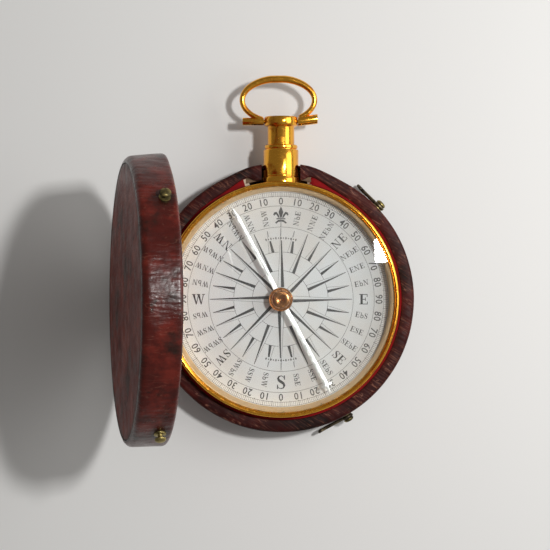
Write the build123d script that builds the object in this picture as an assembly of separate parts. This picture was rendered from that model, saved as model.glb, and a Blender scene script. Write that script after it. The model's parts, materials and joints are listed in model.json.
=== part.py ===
from build123d import *
import math
import os

# Georgian pocket compass in its red leather case, in millimetres, +Z up.
# The origin is the centre of the case's underside. +Y runs along the pendant, -X is the
# hinge side. The case stands open: the lid is drawn at its rest angle, not closed.

# ---------------------------------------------------------------- compass, overall
compass_r = 25.0  # outside of the bezel
compass_h = 9.5  # back of the bowl to the top of the bezel
assembly_gap = 0.03  # between pieces that are pressed or stacked together
running_gap = 0.05  # radial play of a turning fit

# bowl and bezel
bowl_t = 0.7
bowl_round = 1.2
bezel_skirt_t = 0.37
bezel_skirt_h = 0.55
bezel_lip_t = 0.3
bezel_lip_w = 1.0
bezel_round = 0.25

# glass
glass_t = 1.1
glass_rise = 1.7  # crown of the glass above the bezel
glass_hold = 0.3  # how far the lip covers the glass

# dial stack
support_ring_w = 1.3
plate_t = 0.6
plate_clear = 0.32  # under the plate, over the raised lift ring
card_t = 0.25
dial_hole_gap = 0.1  # round the lift ring
dial_ring_foot = 0.87
dial_ring_flare = 0.75

# pivot and needle
post_r = 0.8
post_foot_r = 2.4
post_foot_t = 0.5
post_below_needle = 0.3
point_r = 0.35
point_cone = 0.9
jewel_gap = 0.03
jewel_t = 0.3
cup_depth = 0.45
needle_t = 0.3
needle_w = 0.95
needle_eye_r = 1.9
needle_plain_clear = 0.8  # from the plain end to the dial ring
needle_cross_clear = 0.5
needle_tip_len = 2.6
needle_heading = 120.0  # where the plain end points, degrees from +X
cross_from_end = 1.9
cross_w = 2.4
cross_t = 0.55
cap_h = 2.05  # underside of the needle to the top of the cap
cap_disc_r = 2.5
cap_disc_t = 0.4
cap_knob_r = 1.95
cap_spigot_r = 1.0
cap_bore_r = 0.6
cap_dimple_r = 0.45
cap_web = 0.3  # between the dimple and the bore
cap_round = 0.35

# needle lock
lock_travel = 2.0  # how far the pendant is pushed in
lock_lift = 1.0  # how far the needle rises
lock_end_gap = 0.1  # left at the end of each stroke
lift_ring_r = 1.6
lift_flange_r = 2.6
lift_flange_t = 0.35
lift_gap = 0.08
lever_w = 3.0
lever_t = 0.5
lever_hub_r = 0.75
lever_pin_r = 0.4
lever_nose_reach = 5.5  # fulcrum to nose
lever_nose_w = 1.5
lever_nose_len = 0.6
lever_nose_inset = 4.07  # from the dial's support ring
prong_w = 0.7
prong_gap = 0.3
prong_past = 0.5
bracket_plate_t = 0.4
bracket_plate_w = 8.4
bracket_plate_len = 3.6
bracket_ear_t = 0.5
bracket_ear_len = 1.6
bracket_ear_gap = 0.2
bracket_screw_x = 3.4
screw_r = 0.35
screw_head_r = 0.6
screw_head_t = 0.35
screw_depth = 0.4
tongue_w = 3.0
tongue_t = 0.6
tongue_gap = 0.2
ramp_lead = 0.2

# pendant
plunger_r = 2.85
plunger_gap = 0.03
tube_t = 0.87
tube_len = 5.8
flange_step = 0.25  # beyond the tube
flange_len = 1.1
groove_t = 0.42  # metal left under the groove
groove_len = 0.15
bead_t = 0.57
bead_len = 0.95
neck_len = 4.0
collar_step = 0.7  # beyond the stem
collar_len = 2.05
spigot_step = 0.25  # inside the stem
bore_floor_t = 0.3

# bow
bow_half_w = 7.8  # to the middle of the wire
bow_half_h = 4.6
bow_side_r = 3.2
bow_wire_r = 0.7
bow_foot_drop = 0.05  # how far the oval would pass below the screw
knuckle_r = 0.7
knuckle_end = 7.2
knuckle_gap = 0.1
bow_screw_r = 0.4
bow_screw_head_r = 0.85
bow_screw_head_t = 0.6
bow_slot_w = 0.25
bow_slot_depth = 0.3
bow_nut_len = 0.95

# ---------------------------------------------------------------- leather case
pocket_gap = 0.25  # all round the compass
seat_gap = 0.02  # under it
lining_t = 0.5
wall_board_t = 2.15
leather_t = 0.5
base_h = 8.5
base_board_t = 0.9
lid_board_t = 1.2
pad_t = 0.6
lid_headroom = 0.7  # over the glass, closed
rim_gap = 0.1  # between the two rims, closed
rim_round = 0.35
lining_below_rim = 0.25
pendant_gap = 0.15
lid_open = 78.5  # rest angle, degrees from closed

# hinge strap
strap_w = 15.0
strap_t = 0.6
strap_len = 6.0
hinge_gap = 0.1

# hooks and studs
upper_catch = 43.5  # degrees from +X
lower_catch = -60.5
hook_pin_below_rim = 3.65
hook_len = 6.2  # pin to stud
hook_wire_r = 0.375
hook_gap = 0.08
hook_side_gap = 0.05
hook_wrap = 165.0
upper_hook_fall = 120.0  # swung from upright
lower_hook_fall = 105.0
stud_r = 0.45
stud_head_r = 1.1
stud_head_t = 0.65
stud_head_round = 0.52
stud_washer_r = 1.15
stud_washer_t = 0.25
stud_depth = 1.6

# ---------------------------------------------------------------- worked out from those
lining_in_r = compass_r + pocket_gap
board_in_r = lining_in_r + lining_t
board_out_r = board_in_r + wall_board_t
case_r = board_out_r + leather_t

base_seat_z = leather_t + base_board_t + pad_t
back_z = base_seat_z + seat_gap
bezel_top_z = back_z + compass_h
crown_z = bezel_top_z + glass_rise
pendant_z = back_z + compass_h / 2
inside_z = back_z + bowl_t
bowl_r = compass_r - bezel_skirt_t - assembly_gap
bowl_in_r = bowl_r - bowl_t
stack_r = bowl_in_r - assembly_gap

glass_open_r = compass_r - bezel_lip_w
glass_r = glass_open_r + glass_hold
lip_z = bezel_top_z - bezel_lip_t
glass_edge_z = lip_z - assembly_gap
glass_sag = crown_z - glass_edge_z
glass_curve_r = (glass_open_r**2 + glass_sag**2) / (2 * glass_sag)

lever_axis_z = inside_z + bracket_plate_t + running_gap + lever_hub_r
lever_z = lever_axis_z - lever_t / 2
lever_top_z = lever_z + lever_t
nose_y = stack_r - support_ring_w - lever_nose_inset
lever_y = nose_y - lever_nose_reach
lever_slope = lock_lift / lever_y
nose_drop = lever_nose_reach * lever_slope
tongue_z = lever_top_z + nose_drop + tongue_gap / 2
nose_top_z = tongue_z + nose_drop
ramp_len = lock_travel + ramp_lead
tongue_tip_y = nose_y + ramp_lead
tongue_tip_z = tongue_z + ramp_len * nose_drop / lock_travel + lock_end_gap / 2
flange_z = lever_top_z + lift_gap

plate_low_z = flange_z + lift_flange_t + lock_lift + plate_clear
plate_top_z = plate_low_z + plate_t
card_top_z = plate_top_z + card_t
dial_visible_r = stack_r - dial_ring_foot
dial_hole_r = lift_ring_r + dial_hole_gap

cap_top_z = crown_z - glass_t - lock_end_gap - lock_lift
needle_z = cap_top_z - cap_h
needle_top_z = needle_z + needle_t
cap_shoulder_z = needle_top_z + cap_disc_t
cap_bore_z = cap_top_z - cap_dimple_r - cap_web
cup_z = cap_bore_z - jewel_t
post_top_z = needle_z - post_below_needle
needle_plain_len = dial_visible_r - needle_plain_clear
needle_cross_len = dial_visible_r - needle_cross_clear

bore_r = plunger_r + plunger_gap
tube_r = bore_r + tube_t
flange_r = tube_r + flange_step
groove_r = bore_r + groove_t
bead_r = bore_r + bead_t
collar_r = plunger_r + collar_step
spigot_r = plunger_r - spigot_step
tube_y = compass_r + flange_len
groove_y = tube_y + tube_len
bead_y = groove_y + groove_len
tube_end_y = bead_y + bead_len
collar_y = tube_end_y + neck_len
collar_end_y = collar_y + collar_len
bow_axis_y = collar_y + collar_len / 2
bore_floor_y = compass_r + bore_floor_t
plunger_end_y = bore_floor_y + lock_travel + lock_end_gap
knuckle_start = collar_r + knuckle_gap
knuckle_stop = knuckle_end + running_gap
bow_above_axis = bow_half_h - bow_foot_drop

lid_inside_h = crown_z + lid_headroom - base_h - rim_gap
lid_h = lid_inside_h + pad_t + lid_board_t + leather_t
lid_top_z = base_h + rim_gap + lid_h
hinge_x = -(case_r + strap_t + hinge_gap)
hinge_z = base_h + rim_gap / 2
hook_pin_z = base_h - hook_pin_below_rim
lid_stud_z = hook_pin_z + hook_len

wire_x = case_r + stud_washer_t + hook_side_gap + hook_wire_r
stud_head_x = wire_x + hook_wire_r + hook_side_gap
eye_r = stud_r + hook_gap + hook_wire_r

STAND = (Align.CENTER, Align.CENTER, Align.MIN)
PENDANT_AXIS = Axis((0, 0, pendant_z), (0, 1, 0))
HINGE_AXIS = Axis((hinge_x, 0, hinge_z), (0, -1, 0))


# ---------------------------------------------------------------- shared shapes
def disc(radius, low, high):
    """An upright cylinder about Z between two heights."""
    return Pos(0, 0, low) * Cylinder(radius, high - low, align=STAND)


def ring(outer, inner, low, high):
    """An upright ring about Z between two heights."""
    return disc(outer, low, high) - disc(inner, low, high)


def block(x_span, y_span, z_span):
    """A box from its three spans."""
    low = Vector(x_span[0], y_span[0], z_span[0])
    size = Vector(x_span[1], y_span[1], z_span[1]) - low
    corner = (Align.MIN, Align.MIN, Align.MIN)
    return Pos(*low) * Box(size.X, size.Y, size.Z, align=corner)


def rod(radius, start, end):
    """A round bar between two points."""
    line = Vector(*end) - Vector(*start)
    frame = Plane(origin=start, z_dir=line)
    return frame.location * Cylinder(radius, line.length, align=STAND)


def turned(outline):
    """A solid turned about Z from (radius, height) points."""
    points = [(r, 0, z) for r, z in outline]
    return revolve(make_face(Polyline(*points, close=True)), Axis.Z)


def turned_pendant(outline):
    """A solid turned about the pendant's axis from (radius, y) points."""
    points = [(r, y, pendant_z) for r, y in outline]
    return revolve(make_face(Polyline(*points, close=True)), PENDANT_AXIS)


def circles(part, radius, height):
    """The part's circular edges about Z with this radius and height."""
    tolerance = 1e-4
    return part.edges().filter_by(GeomType.CIRCLE).filter_by(
        lambda e: abs(e.radius - radius) < tolerance and abs(e.arc_center.Z - height) < tolerance
    )


def dome_height(radius, depth):
    """Height of a sphere concentric with the glass, depth below its outer face."""
    centre = crown_z - glass_curve_r
    return centre + math.sqrt((glass_curve_r - depth) ** 2 - radius**2)


# ---------------------------------------------------------------- leather case, both halves
# Each half is drawn as a tray with its outer face at height 0 and its rim at height h.
def tray_notch(axis_h, h):
    """The way through a tray's wall for the pendant, whose axis is at height axis_h."""
    half = flange_r + pendant_gap
    y_span = (lining_in_r / 2, 2 * case_r)
    bore = rod(half, (0, y_span[0], axis_h), (0, y_span[1], axis_h))
    return bore + block((-half, half), y_span, (axis_h, axis_h + h))


def stud_hole(angle, height):
    """The hole in a wall for a stud's shank."""
    shank = rod(stud_r, (case_r - stud_depth, 0, height), (case_r + stud_depth, 0, height))
    return Rot(0, 0, angle) * shank


def tray_wall_board(h, axis_h, stud_h):
    wall = ring(board_out_r, board_in_r, leather_t, h - leather_t)
    holes = stud_hole(upper_catch, stud_h) + stud_hole(lower_catch, stud_h)
    return wall - tray_notch(axis_h, h) - holes


def tray_board(h, board_t, axis_h):
    return disc(board_in_r, leather_t, leather_t + board_t) - tray_notch(axis_h, h)


def tray_side_leather(h, axis_h, stud_h):
    skin = ring(case_r, board_out_r, leather_t, h)
    rim = ring(board_out_r, board_in_r, h - leather_t, h)
    leather = fillet(circles(skin + rim, case_r, h), rim_round)
    holes = stud_hole(upper_catch, stud_h) + stud_hole(lower_catch, stud_h)
    return leather - tray_notch(axis_h, h) - holes


def tray_face_leather():
    face = disc(case_r, 0, leather_t)
    return fillet(circles(face, case_r, 0), rim_round)


def tray_lining(h, board_t, axis_h):
    wall = ring(board_in_r, lining_in_r, leather_t + board_t, h - lining_below_rim)
    return wall - tray_notch(axis_h, h)


def tray_pad(h, board_t, axis_h):
    low = leather_t + board_t
    return disc(lining_in_r, low, low + pad_t) - tray_notch(axis_h, h)


def tray_strap(h):
    half = strap_w / 2
    band = ring(case_r + strap_t, case_r, h - strap_len, h)
    return band & block((-2 * case_r, 0), (-half, half), (0, h))


def wall_stud(angle, height):
    """A brass stud driven into a wall: shank, washer and round head."""
    shank = rod(stud_r, (case_r - stud_depth, 0, height), (stud_head_x, 0, height))
    washer = rod(stud_washer_r, (case_r, 0, height), (case_r + stud_washer_t, 0, height))
    head = rod(stud_head_r, (stud_head_x, 0, height), (stud_head_x + stud_head_t, 0, height))
    crown = head.edges().filter_by(GeomType.CIRCLE).sort_by(Axis.X)[-1]
    head = fillet(crown, stud_head_round)
    return Rot(0, 0, angle) * (shank + washer + head)


def lid_placed(piece):
    """A tray piece turned over onto the base, then opened to the rest angle."""
    closed = Pos(0, 0, lid_top_z) * mirror(piece, about=Plane.XY)
    return closed.rotate(HINGE_AXIS, lid_open)


# ---------------------------------------------------------------- hooks
def wire_hook(angle, fall, side):
    """A brass wire hook on its wall pin. side is +1 where it lies towards +angle."""
    eye = Rot(0, 90, 0) * Torus(eye_r, hook_wire_r)
    shank = Line((0, side * eye_r, 0), (0, side * eye_r, hook_len))
    over = math.radians(hook_wrap)
    middle = math.radians(hook_wrap / 2)
    bend = ThreePointArc(
        (0, side * eye_r, hook_len),
        (0, side * eye_r * math.cos(middle), hook_len + eye_r * math.sin(middle)),
        (0, side * eye_r * math.cos(over), hook_len + eye_r * math.sin(over)),
    )
    path = shank + bend
    start = Plane(origin=(0, side * eye_r, 0), z_dir=(0, 0, 1))
    wire = sweep(start * Circle(hook_wire_r), path=path)
    tip = Pos(*bend.position_at(1)) * Sphere(hook_wire_r)
    hook = eye + wire + tip
    laid = Rot(-side * fall, 0, 0) * hook
    return Rot(0, 0, angle) * (Pos(wire_x, 0, hook_pin_z) * laid)


# ---------------------------------------------------------------- compass body
def glass_low_z():
    """The lowest height of the glass, at its edge."""
    return dome_height(glass_r, glass_t)


def skirt_low_z():
    """The lowest height of the bezel."""
    return glass_low_z() - bezel_skirt_h


def case_bowl():
    outer = disc(bowl_r, back_z, glass_low_z() - assembly_gap)
    outer = fillet(circles(outer, bowl_r, back_z), bowl_round)
    bowl = outer - disc(bowl_in_r, inside_z, bezel_top_z)
    bowl -= tongue_slot(bowl_in_r - bowl_t, bowl_r + bowl_t)
    for x in (-bracket_screw_x, bracket_screw_x):
        hole = rod(screw_r, (x, lever_y, inside_z - screw_depth), (x, lever_y, inside_z))
        bowl -= hole
    return bowl


def tongue_slot(y_low, y_high):
    """Room for the lock's tongue through a wall at +Y."""
    half = tongue_w / 2 + tongue_gap
    z_span = (tongue_z - tongue_gap, tongue_z + tongue_t + tongue_gap)
    return block((-half, half), (y_low, y_high), z_span)


def bezel():
    skirt_top = glass_low_z()
    seat_r = glass_r + assembly_gap
    outline = [
        (bowl_r + assembly_gap, skirt_low_z()),
        (compass_r, skirt_low_z()),
        (compass_r, bezel_top_z),
        (glass_open_r, bezel_top_z),
        (glass_open_r, lip_z),
        (seat_r, lip_z),
        (seat_r, skirt_top),
        (bowl_r + assembly_gap, skirt_top),
    ]
    body = turned(outline)
    rims = circles(body, compass_r, bezel_top_z) + circles(body, glass_open_r, bezel_top_z)
    return fillet(rims, bezel_round)


def glass():
    """A domed glass of even thickness."""
    def profile_point(radius, depth):
        return (radius, 0, dome_height(radius, depth))

    outer = ThreePointArc(
        profile_point(0, 0), profile_point(glass_r / 2, 0), profile_point(glass_r, 0)
    )
    inner = ThreePointArc(
        profile_point(glass_r, glass_t),
        profile_point(glass_r / 2, glass_t),
        profile_point(0, glass_t),
    )
    edge = Line(outer @ 1, inner @ 0)
    axis = Line(inner @ 1, outer @ 0)
    return revolve(make_face(outer + edge + inner + axis), Axis.Z)


def dial_support_ring():
    band = ring(stack_r, stack_r - support_ring_w, inside_z, plate_low_z)
    return band - tongue_slot(stack_r / 2, 2 * stack_r)


def dial_plate():
    return ring(stack_r, dial_hole_r, plate_low_z, plate_top_z)


def dial_card():
    return ring(stack_r, dial_hole_r, plate_top_z, card_top_z)


def dial_ring():
    """The sloping brass ring between the dial's edge and the glass."""
    top = dome_height(stack_r, glass_t) - assembly_gap
    outline = [
        (dial_visible_r, card_top_z),
        (stack_r, card_top_z),
        (stack_r, top),
        (dial_visible_r + dial_ring_flare, top),
    ]
    return turned(outline)


def pivot_post():
    foot = disc(post_foot_r, inside_z, inside_z + post_foot_t)
    return foot + disc(post_r, inside_z, post_top_z)


def pivot_point():
    tip = cup_z - jewel_gap
    shoulder = tip - point_cone
    return turned([(0, post_top_z), (point_r, post_top_z), (point_r, shoulder), (0, tip)])


def pendant_tube():
    """Flange, tube and end bead, bored for the plunger and saddled onto the bowl."""
    outline = [
        (0, compass_r / 2),
        (flange_r, compass_r / 2),
        (flange_r, tube_y),
        (tube_r, tube_y),
        (tube_r, groove_y),
        (groove_r, groove_y),
        (groove_r, bead_y),
        (bead_r, bead_y),
        (bead_r, tube_end_y),
        (0, tube_end_y),
    ]
    body = turned_pendant(outline)
    body -= disc(compass_r + assembly_gap, 0, 2 * crown_z)
    spigot = rod(spigot_r, (0, compass_r / 2, pendant_z), (0, compass_r + bore_floor_t, pendant_z))
    spigot -= disc(bowl_r, 0, 2 * crown_z)
    body += spigot - disc(compass_r + assembly_gap, skirt_low_z() - assembly_gap, 2 * crown_z)
    body -= rod(bore_r, (0, bore_floor_y, pendant_z), (0, 2 * compass_r, pendant_z))
    return body - tongue_slot(compass_r / 2, 2 * compass_r)


def lever_bracket():
    half_w = bracket_plate_w / 2
    half_len = bracket_plate_len / 2
    plate_top = inside_z + bracket_plate_t
    plate = block((-half_w, half_w), (lever_y - half_len, lever_y + half_len), (inside_z, plate_top))
    ear_in = lever_w / 2 + bracket_ear_gap
    ear_out = ear_in + bracket_ear_t
    y_span = (lever_y - bracket_ear_len / 2, lever_y + bracket_ear_len / 2)
    z_span = (plate_top, lever_axis_z + lever_hub_r)
    bracket = plate + block((ear_in, ear_out), y_span, z_span)
    bracket += block((-ear_out, -ear_in), y_span, z_span)
    bracket -= lever_pin()
    for x in (-bracket_screw_x, bracket_screw_x):
        bracket -= rod(screw_r, (x, lever_y, inside_z), (x, lever_y, plate_top))
    return bracket


def lever_pin():
    reach = lever_w / 2 + bracket_ear_gap + bracket_ear_t
    return rod(lever_pin_r, (-reach, lever_y, lever_axis_z), (reach, lever_y, lever_axis_z))


def bracket_screw(x):
    head_z = inside_z + bracket_plate_t
    shank = rod(screw_r, (x, lever_y, inside_z - screw_depth), (x, lever_y, head_z))
    head = rod(screw_head_r, (x, lever_y, head_z), (x, lever_y, head_z + screw_head_t))
    return shank + head


# ---------------------------------------------------------------- needle lock
def lock_plunger():
    """The sliding stem and its collar, turned in one piece, cross-bored for the bow screw."""
    stem = rod(plunger_r, (0, plunger_end_y, pendant_z), (0, collar_y, pendant_z))
    collar = rod(collar_r, (0, collar_y, pendant_z), (0, collar_end_y, pendant_z))
    cross = rod(bow_screw_r, (-collar_r, bow_axis_y, pendant_z), (collar_r, bow_axis_y, pendant_z))
    return stem + collar - cross


def lock_tongue():
    """The flat tongue on the plunger's inner end, ramped underneath."""
    half = tongue_w / 2
    top = tongue_z + tongue_t
    outline = [
        (0, tongue_tip_y, tongue_tip_z),
        (0, tongue_tip_y + ramp_len, tongue_z),
        (0, plunger_end_y, tongue_z),
        (0, plunger_end_y, top),
        (0, tongue_tip_y, top),
    ]
    face = make_face(Polyline(*outline, close=True))
    return extrude(face, amount=half, dir=(1, 0, 0), both=True)


def lock_lever():
    half = lever_w / 2
    z_span = (lever_z, lever_top_z)
    prong_in = lift_ring_r + prong_gap
    prong_out = prong_in + prong_w
    yoke_y = lift_flange_r + prong_gap
    nose_half = lever_nose_len / 2
    bar = block((-half, half), (yoke_y, nose_y + nose_half), z_span)
    yoke = block((-prong_out, prong_out), (yoke_y, yoke_y + prong_w), z_span)
    lever = bar + yoke
    for x_span in ((prong_in, prong_out), (-prong_out, -prong_in)):
        lever += block(x_span, (-prong_past, yoke_y), z_span)
    nose_x = lever_nose_w / 2
    lever += block((-nose_x, nose_x), (nose_y - nose_half, nose_y + nose_half), (lever_z, nose_top_z))
    lever += rod(lever_hub_r, (-half, lever_y, lever_axis_z), (half, lever_y, lever_axis_z))
    bore = lever_pin_r + running_gap
    return lever - rod(bore, (-half, lever_y, lever_axis_z), (half, lever_y, lever_axis_z))


def lift_ring():
    low = inside_z + post_foot_t + lock_end_gap
    barrel = ring(lift_ring_r, post_r + running_gap, low, needle_z - lift_gap)
    flange = ring(lift_flange_r, post_r + running_gap, flange_z, flange_z + lift_flange_t)
    return barrel + flange


# ---------------------------------------------------------------- needle
def needle_bar():
    """A flat needle, drawn along +X: the cross-bar end at -X."""
    half = needle_w / 2
    tip = needle_tip_len
    outline = [
        (needle_plain_len, 0),
        (needle_plain_len - tip, half),
        (-needle_cross_len + tip, half),
        (-needle_cross_len, 0),
        (-needle_cross_len + tip, -half),
        (needle_plain_len - tip, -half),
    ]
    bar = extrude(make_face(Polyline(*outline, close=True)), needle_t)
    bar += Cylinder(needle_eye_r, needle_t, align=STAND)
    cross_x = -needle_cross_len + cross_from_end
    bar += block((cross_x - cross_t / 2, cross_x + cross_t / 2), (-cross_w / 2, cross_w / 2), (0, needle_t))
    bar -= Cylinder(cap_spigot_r, needle_t, align=STAND)
    return Pos(0, 0, needle_z) * (Rot(0, 0, needle_heading) * bar)


def needle_cap():
    spigot = disc(cap_spigot_r, needle_z, needle_top_z)
    rim = disc(cap_disc_r, needle_top_z, cap_shoulder_z)
    knob = disc(cap_knob_r, cap_shoulder_z, cap_top_z)
    knob = fillet(circles(knob, cap_knob_r, cap_top_z), cap_round)
    cap = spigot + rim + knob - disc(cap_bore_r, needle_z, cap_bore_z)
    return cap - Pos(0, 0, cap_top_z) * Sphere(cap_dimple_r)


def cap_jewel():
    """The stone cup that turns on the point."""
    low = cup_z - cup_depth
    mouth = point_r * cup_depth / point_cone + running_gap
    outline = [
        (mouth, low),
        (cap_bore_r, low),
        (cap_bore_r, cap_bore_z),
        (0, cap_bore_z),
        (0, cup_z),
    ]
    return turned(outline)


# ---------------------------------------------------------------- bow
def bow_oval():
    """The bow's centre line: four tangent arcs about the oval's centre."""
    side_x = bow_half_w - bow_side_r
    rise = bow_half_h - bow_side_r
    drop = (side_x**2 - rise**2) / (2 * rise)
    long_r = bow_half_h + drop
    turn = math.degrees(math.atan2(drop, side_x))
    right = CenterArc((side_x, 0), bow_side_r, -turn, 2 * turn)
    top = CenterArc((0, -drop), long_r, turn, 180 - 2 * turn)
    left = CenterArc((-side_x, 0), bow_side_r, 180 - turn, 2 * turn)
    low = CenterArc((0, drop), long_r, 180 + turn, 180 - 2 * turn)
    return right + top + left + low


def bow():
    centre = Pos(0, bow_axis_y + bow_above_axis, pendant_z)
    path = centre * bow_oval()
    start = Plane(origin=path @ 0, z_dir=path % 0)
    hoop = sweep(start * Circle(bow_wire_r), path=path)
    mouth = bow_axis_y + bow_above_axis
    z_span = (0, 2 * pendant_z)
    hoop -= block((-knuckle_start, knuckle_start), (collar_y, mouth), z_span)
    for side in (-1, 1):
        hoop += rod(
            knuckle_r,
            (side * knuckle_start, bow_axis_y, pendant_z),
            (side * knuckle_end, bow_axis_y, pendant_z),
        )
    bore = bow_screw_r + running_gap
    reach = 2 * knuckle_end
    return hoop - rod(bore, (-reach, bow_axis_y, pendant_z), (reach, bow_axis_y, pendant_z))


def bow_screw():
    head_end = knuckle_stop + bow_screw_head_t
    tail = knuckle_stop + bow_nut_len
    axis = (bow_axis_y, pendant_z)
    shank = rod(bow_screw_r, (-tail, *axis), (knuckle_stop, *axis))
    head = rod(bow_screw_head_r, (knuckle_stop, *axis), (head_end, *axis))
    y_span = (bow_axis_y - bow_screw_head_r, bow_axis_y + bow_screw_head_r)
    z_span = (pendant_z - bow_slot_w / 2, pendant_z + bow_slot_w / 2)
    slot = block((head_end - bow_slot_depth, head_end), y_span, z_span)
    return shank + head - slot


def bow_nut():
    axis = (bow_axis_y, pendant_z)
    start = (-knuckle_stop, *axis)
    end = (-knuckle_stop - bow_nut_len, *axis)
    return rod(knuckle_r, start, end) - rod(bow_screw_r, start, end)


# ---------------------------------------------------------------- every piece by name
def case_half(name, h, board_t, axis_h, stud_h):
    """The pieces of one half of the leather case, as a tray."""
    return {
        f"{name}_wall_board": tray_wall_board(h, axis_h, stud_h),
        f"{name}_flat_board": tray_board(h, board_t, axis_h),
        f"{name}_side_leather": tray_side_leather(h, axis_h, stud_h),
        f"{name}_face_leather": tray_face_leather(),
        f"{name}_lining": tray_lining(h, board_t, axis_h),
        f"{name}_pad": tray_pad(h, board_t, axis_h),
        f"{name}_hinge_strap": tray_strap(h),
        f"{name}_stud_upper": wall_stud(upper_catch, stud_h),
        f"{name}_stud_lower": wall_stud(lower_catch, stud_h),
    }


def all_pieces():
    pieces = case_half("base", base_h, base_board_t, pendant_z, hook_pin_z)
    lid_axis_h = lid_top_z - pendant_z
    lid = case_half("lid", lid_h, lid_board_t, lid_axis_h, lid_top_z - lid_stud_z)
    pieces |= {name: lid_placed(piece) for name, piece in lid.items()}
    pieces |= {
        "hook_upper": wire_hook(upper_catch, upper_hook_fall, 1),
        "hook_lower": wire_hook(lower_catch, lower_hook_fall, -1),
        "case_bowl": case_bowl(),
        "bezel": bezel(),
        "glass": glass(),
        "dial_support_ring": dial_support_ring(),
        "dial_plate": dial_plate(),
        "dial_card": dial_card(),
        "dial_ring": dial_ring(),
        "pivot_post": pivot_post(),
        "pivot_point": pivot_point(),
        "pendant_tube": pendant_tube(),
        "lever_bracket": lever_bracket(),
        "lever_pin": lever_pin(),
        "bracket_screw_left": bracket_screw(-bracket_screw_x),
        "bracket_screw_right": bracket_screw(bracket_screw_x),
        "lock_plunger": lock_plunger(),
        "lock_tongue": lock_tongue(),
        "bow_screw": bow_screw(),
        "bow_nut": bow_nut(),
        "bow": bow(),
        "lock_lever": lock_lever(),
        "lift_ring": lift_ring(),
        "needle_bar": needle_bar(),
        "needle_cap": needle_cap(),
        "cap_jewel": cap_jewel(),
    }
    return pieces


os.makedirs("parts", exist_ok=True)
for piece_name, piece in all_pieces().items():
    export_step(piece, f"parts/{piece_name}.step")
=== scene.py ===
import json
import logging
import math
from dataclasses import dataclass, field
from enum import Enum
from typing import Callable, Sequence

import bmesh
import bpy
from mathutils import Matrix, Vector, noise


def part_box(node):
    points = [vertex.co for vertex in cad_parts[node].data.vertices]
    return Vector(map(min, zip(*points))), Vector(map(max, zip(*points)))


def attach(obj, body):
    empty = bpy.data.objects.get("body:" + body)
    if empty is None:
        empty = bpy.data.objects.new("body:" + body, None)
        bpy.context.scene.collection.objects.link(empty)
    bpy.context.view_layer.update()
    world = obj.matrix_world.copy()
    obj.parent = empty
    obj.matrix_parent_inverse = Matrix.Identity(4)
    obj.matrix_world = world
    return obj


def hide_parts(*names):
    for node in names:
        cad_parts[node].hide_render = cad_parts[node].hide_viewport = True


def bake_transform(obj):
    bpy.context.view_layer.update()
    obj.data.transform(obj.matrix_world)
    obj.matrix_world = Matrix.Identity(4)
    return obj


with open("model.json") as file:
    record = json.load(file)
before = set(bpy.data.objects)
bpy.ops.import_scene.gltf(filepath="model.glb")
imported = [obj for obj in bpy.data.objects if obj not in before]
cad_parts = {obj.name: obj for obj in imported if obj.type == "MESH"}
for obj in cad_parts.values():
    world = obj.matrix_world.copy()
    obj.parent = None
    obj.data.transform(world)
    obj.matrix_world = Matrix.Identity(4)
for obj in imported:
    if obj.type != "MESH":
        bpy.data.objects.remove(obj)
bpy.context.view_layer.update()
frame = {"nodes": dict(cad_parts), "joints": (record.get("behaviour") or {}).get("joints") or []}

MM = 0.001
TURN = 2 * math.pi
MERGE = 1e-4  # mm
LOG = logging.getLogger("pocket_compass")

Point = tuple[float, float]
Colour = tuple[float, float, float]


class Body(str, Enum):
    """The frame's bodies that carry finished pieces."""

    BASE = "base"
    LID = "lid"
    HOOK_UPPER = "hook_upper"
    HOOK_LOWER = "hook_lower"
    COMPASS = "compass"
    PLUNGER = "plunger"
    BOW = "bow"
    NEEDLE = "needle"


class Slot(str, Enum):
    """The material slots of the finished pieces."""

    LEATHER = "case_leather"
    LINING = "lining"
    GILT = "gilt_brass"
    TARNISHED = "tarnished_brass"
    CAP = "cap_brass"
    STEEL = "steel"
    GLASS = "glass"
    PAPER = "dial_paper"


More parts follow.
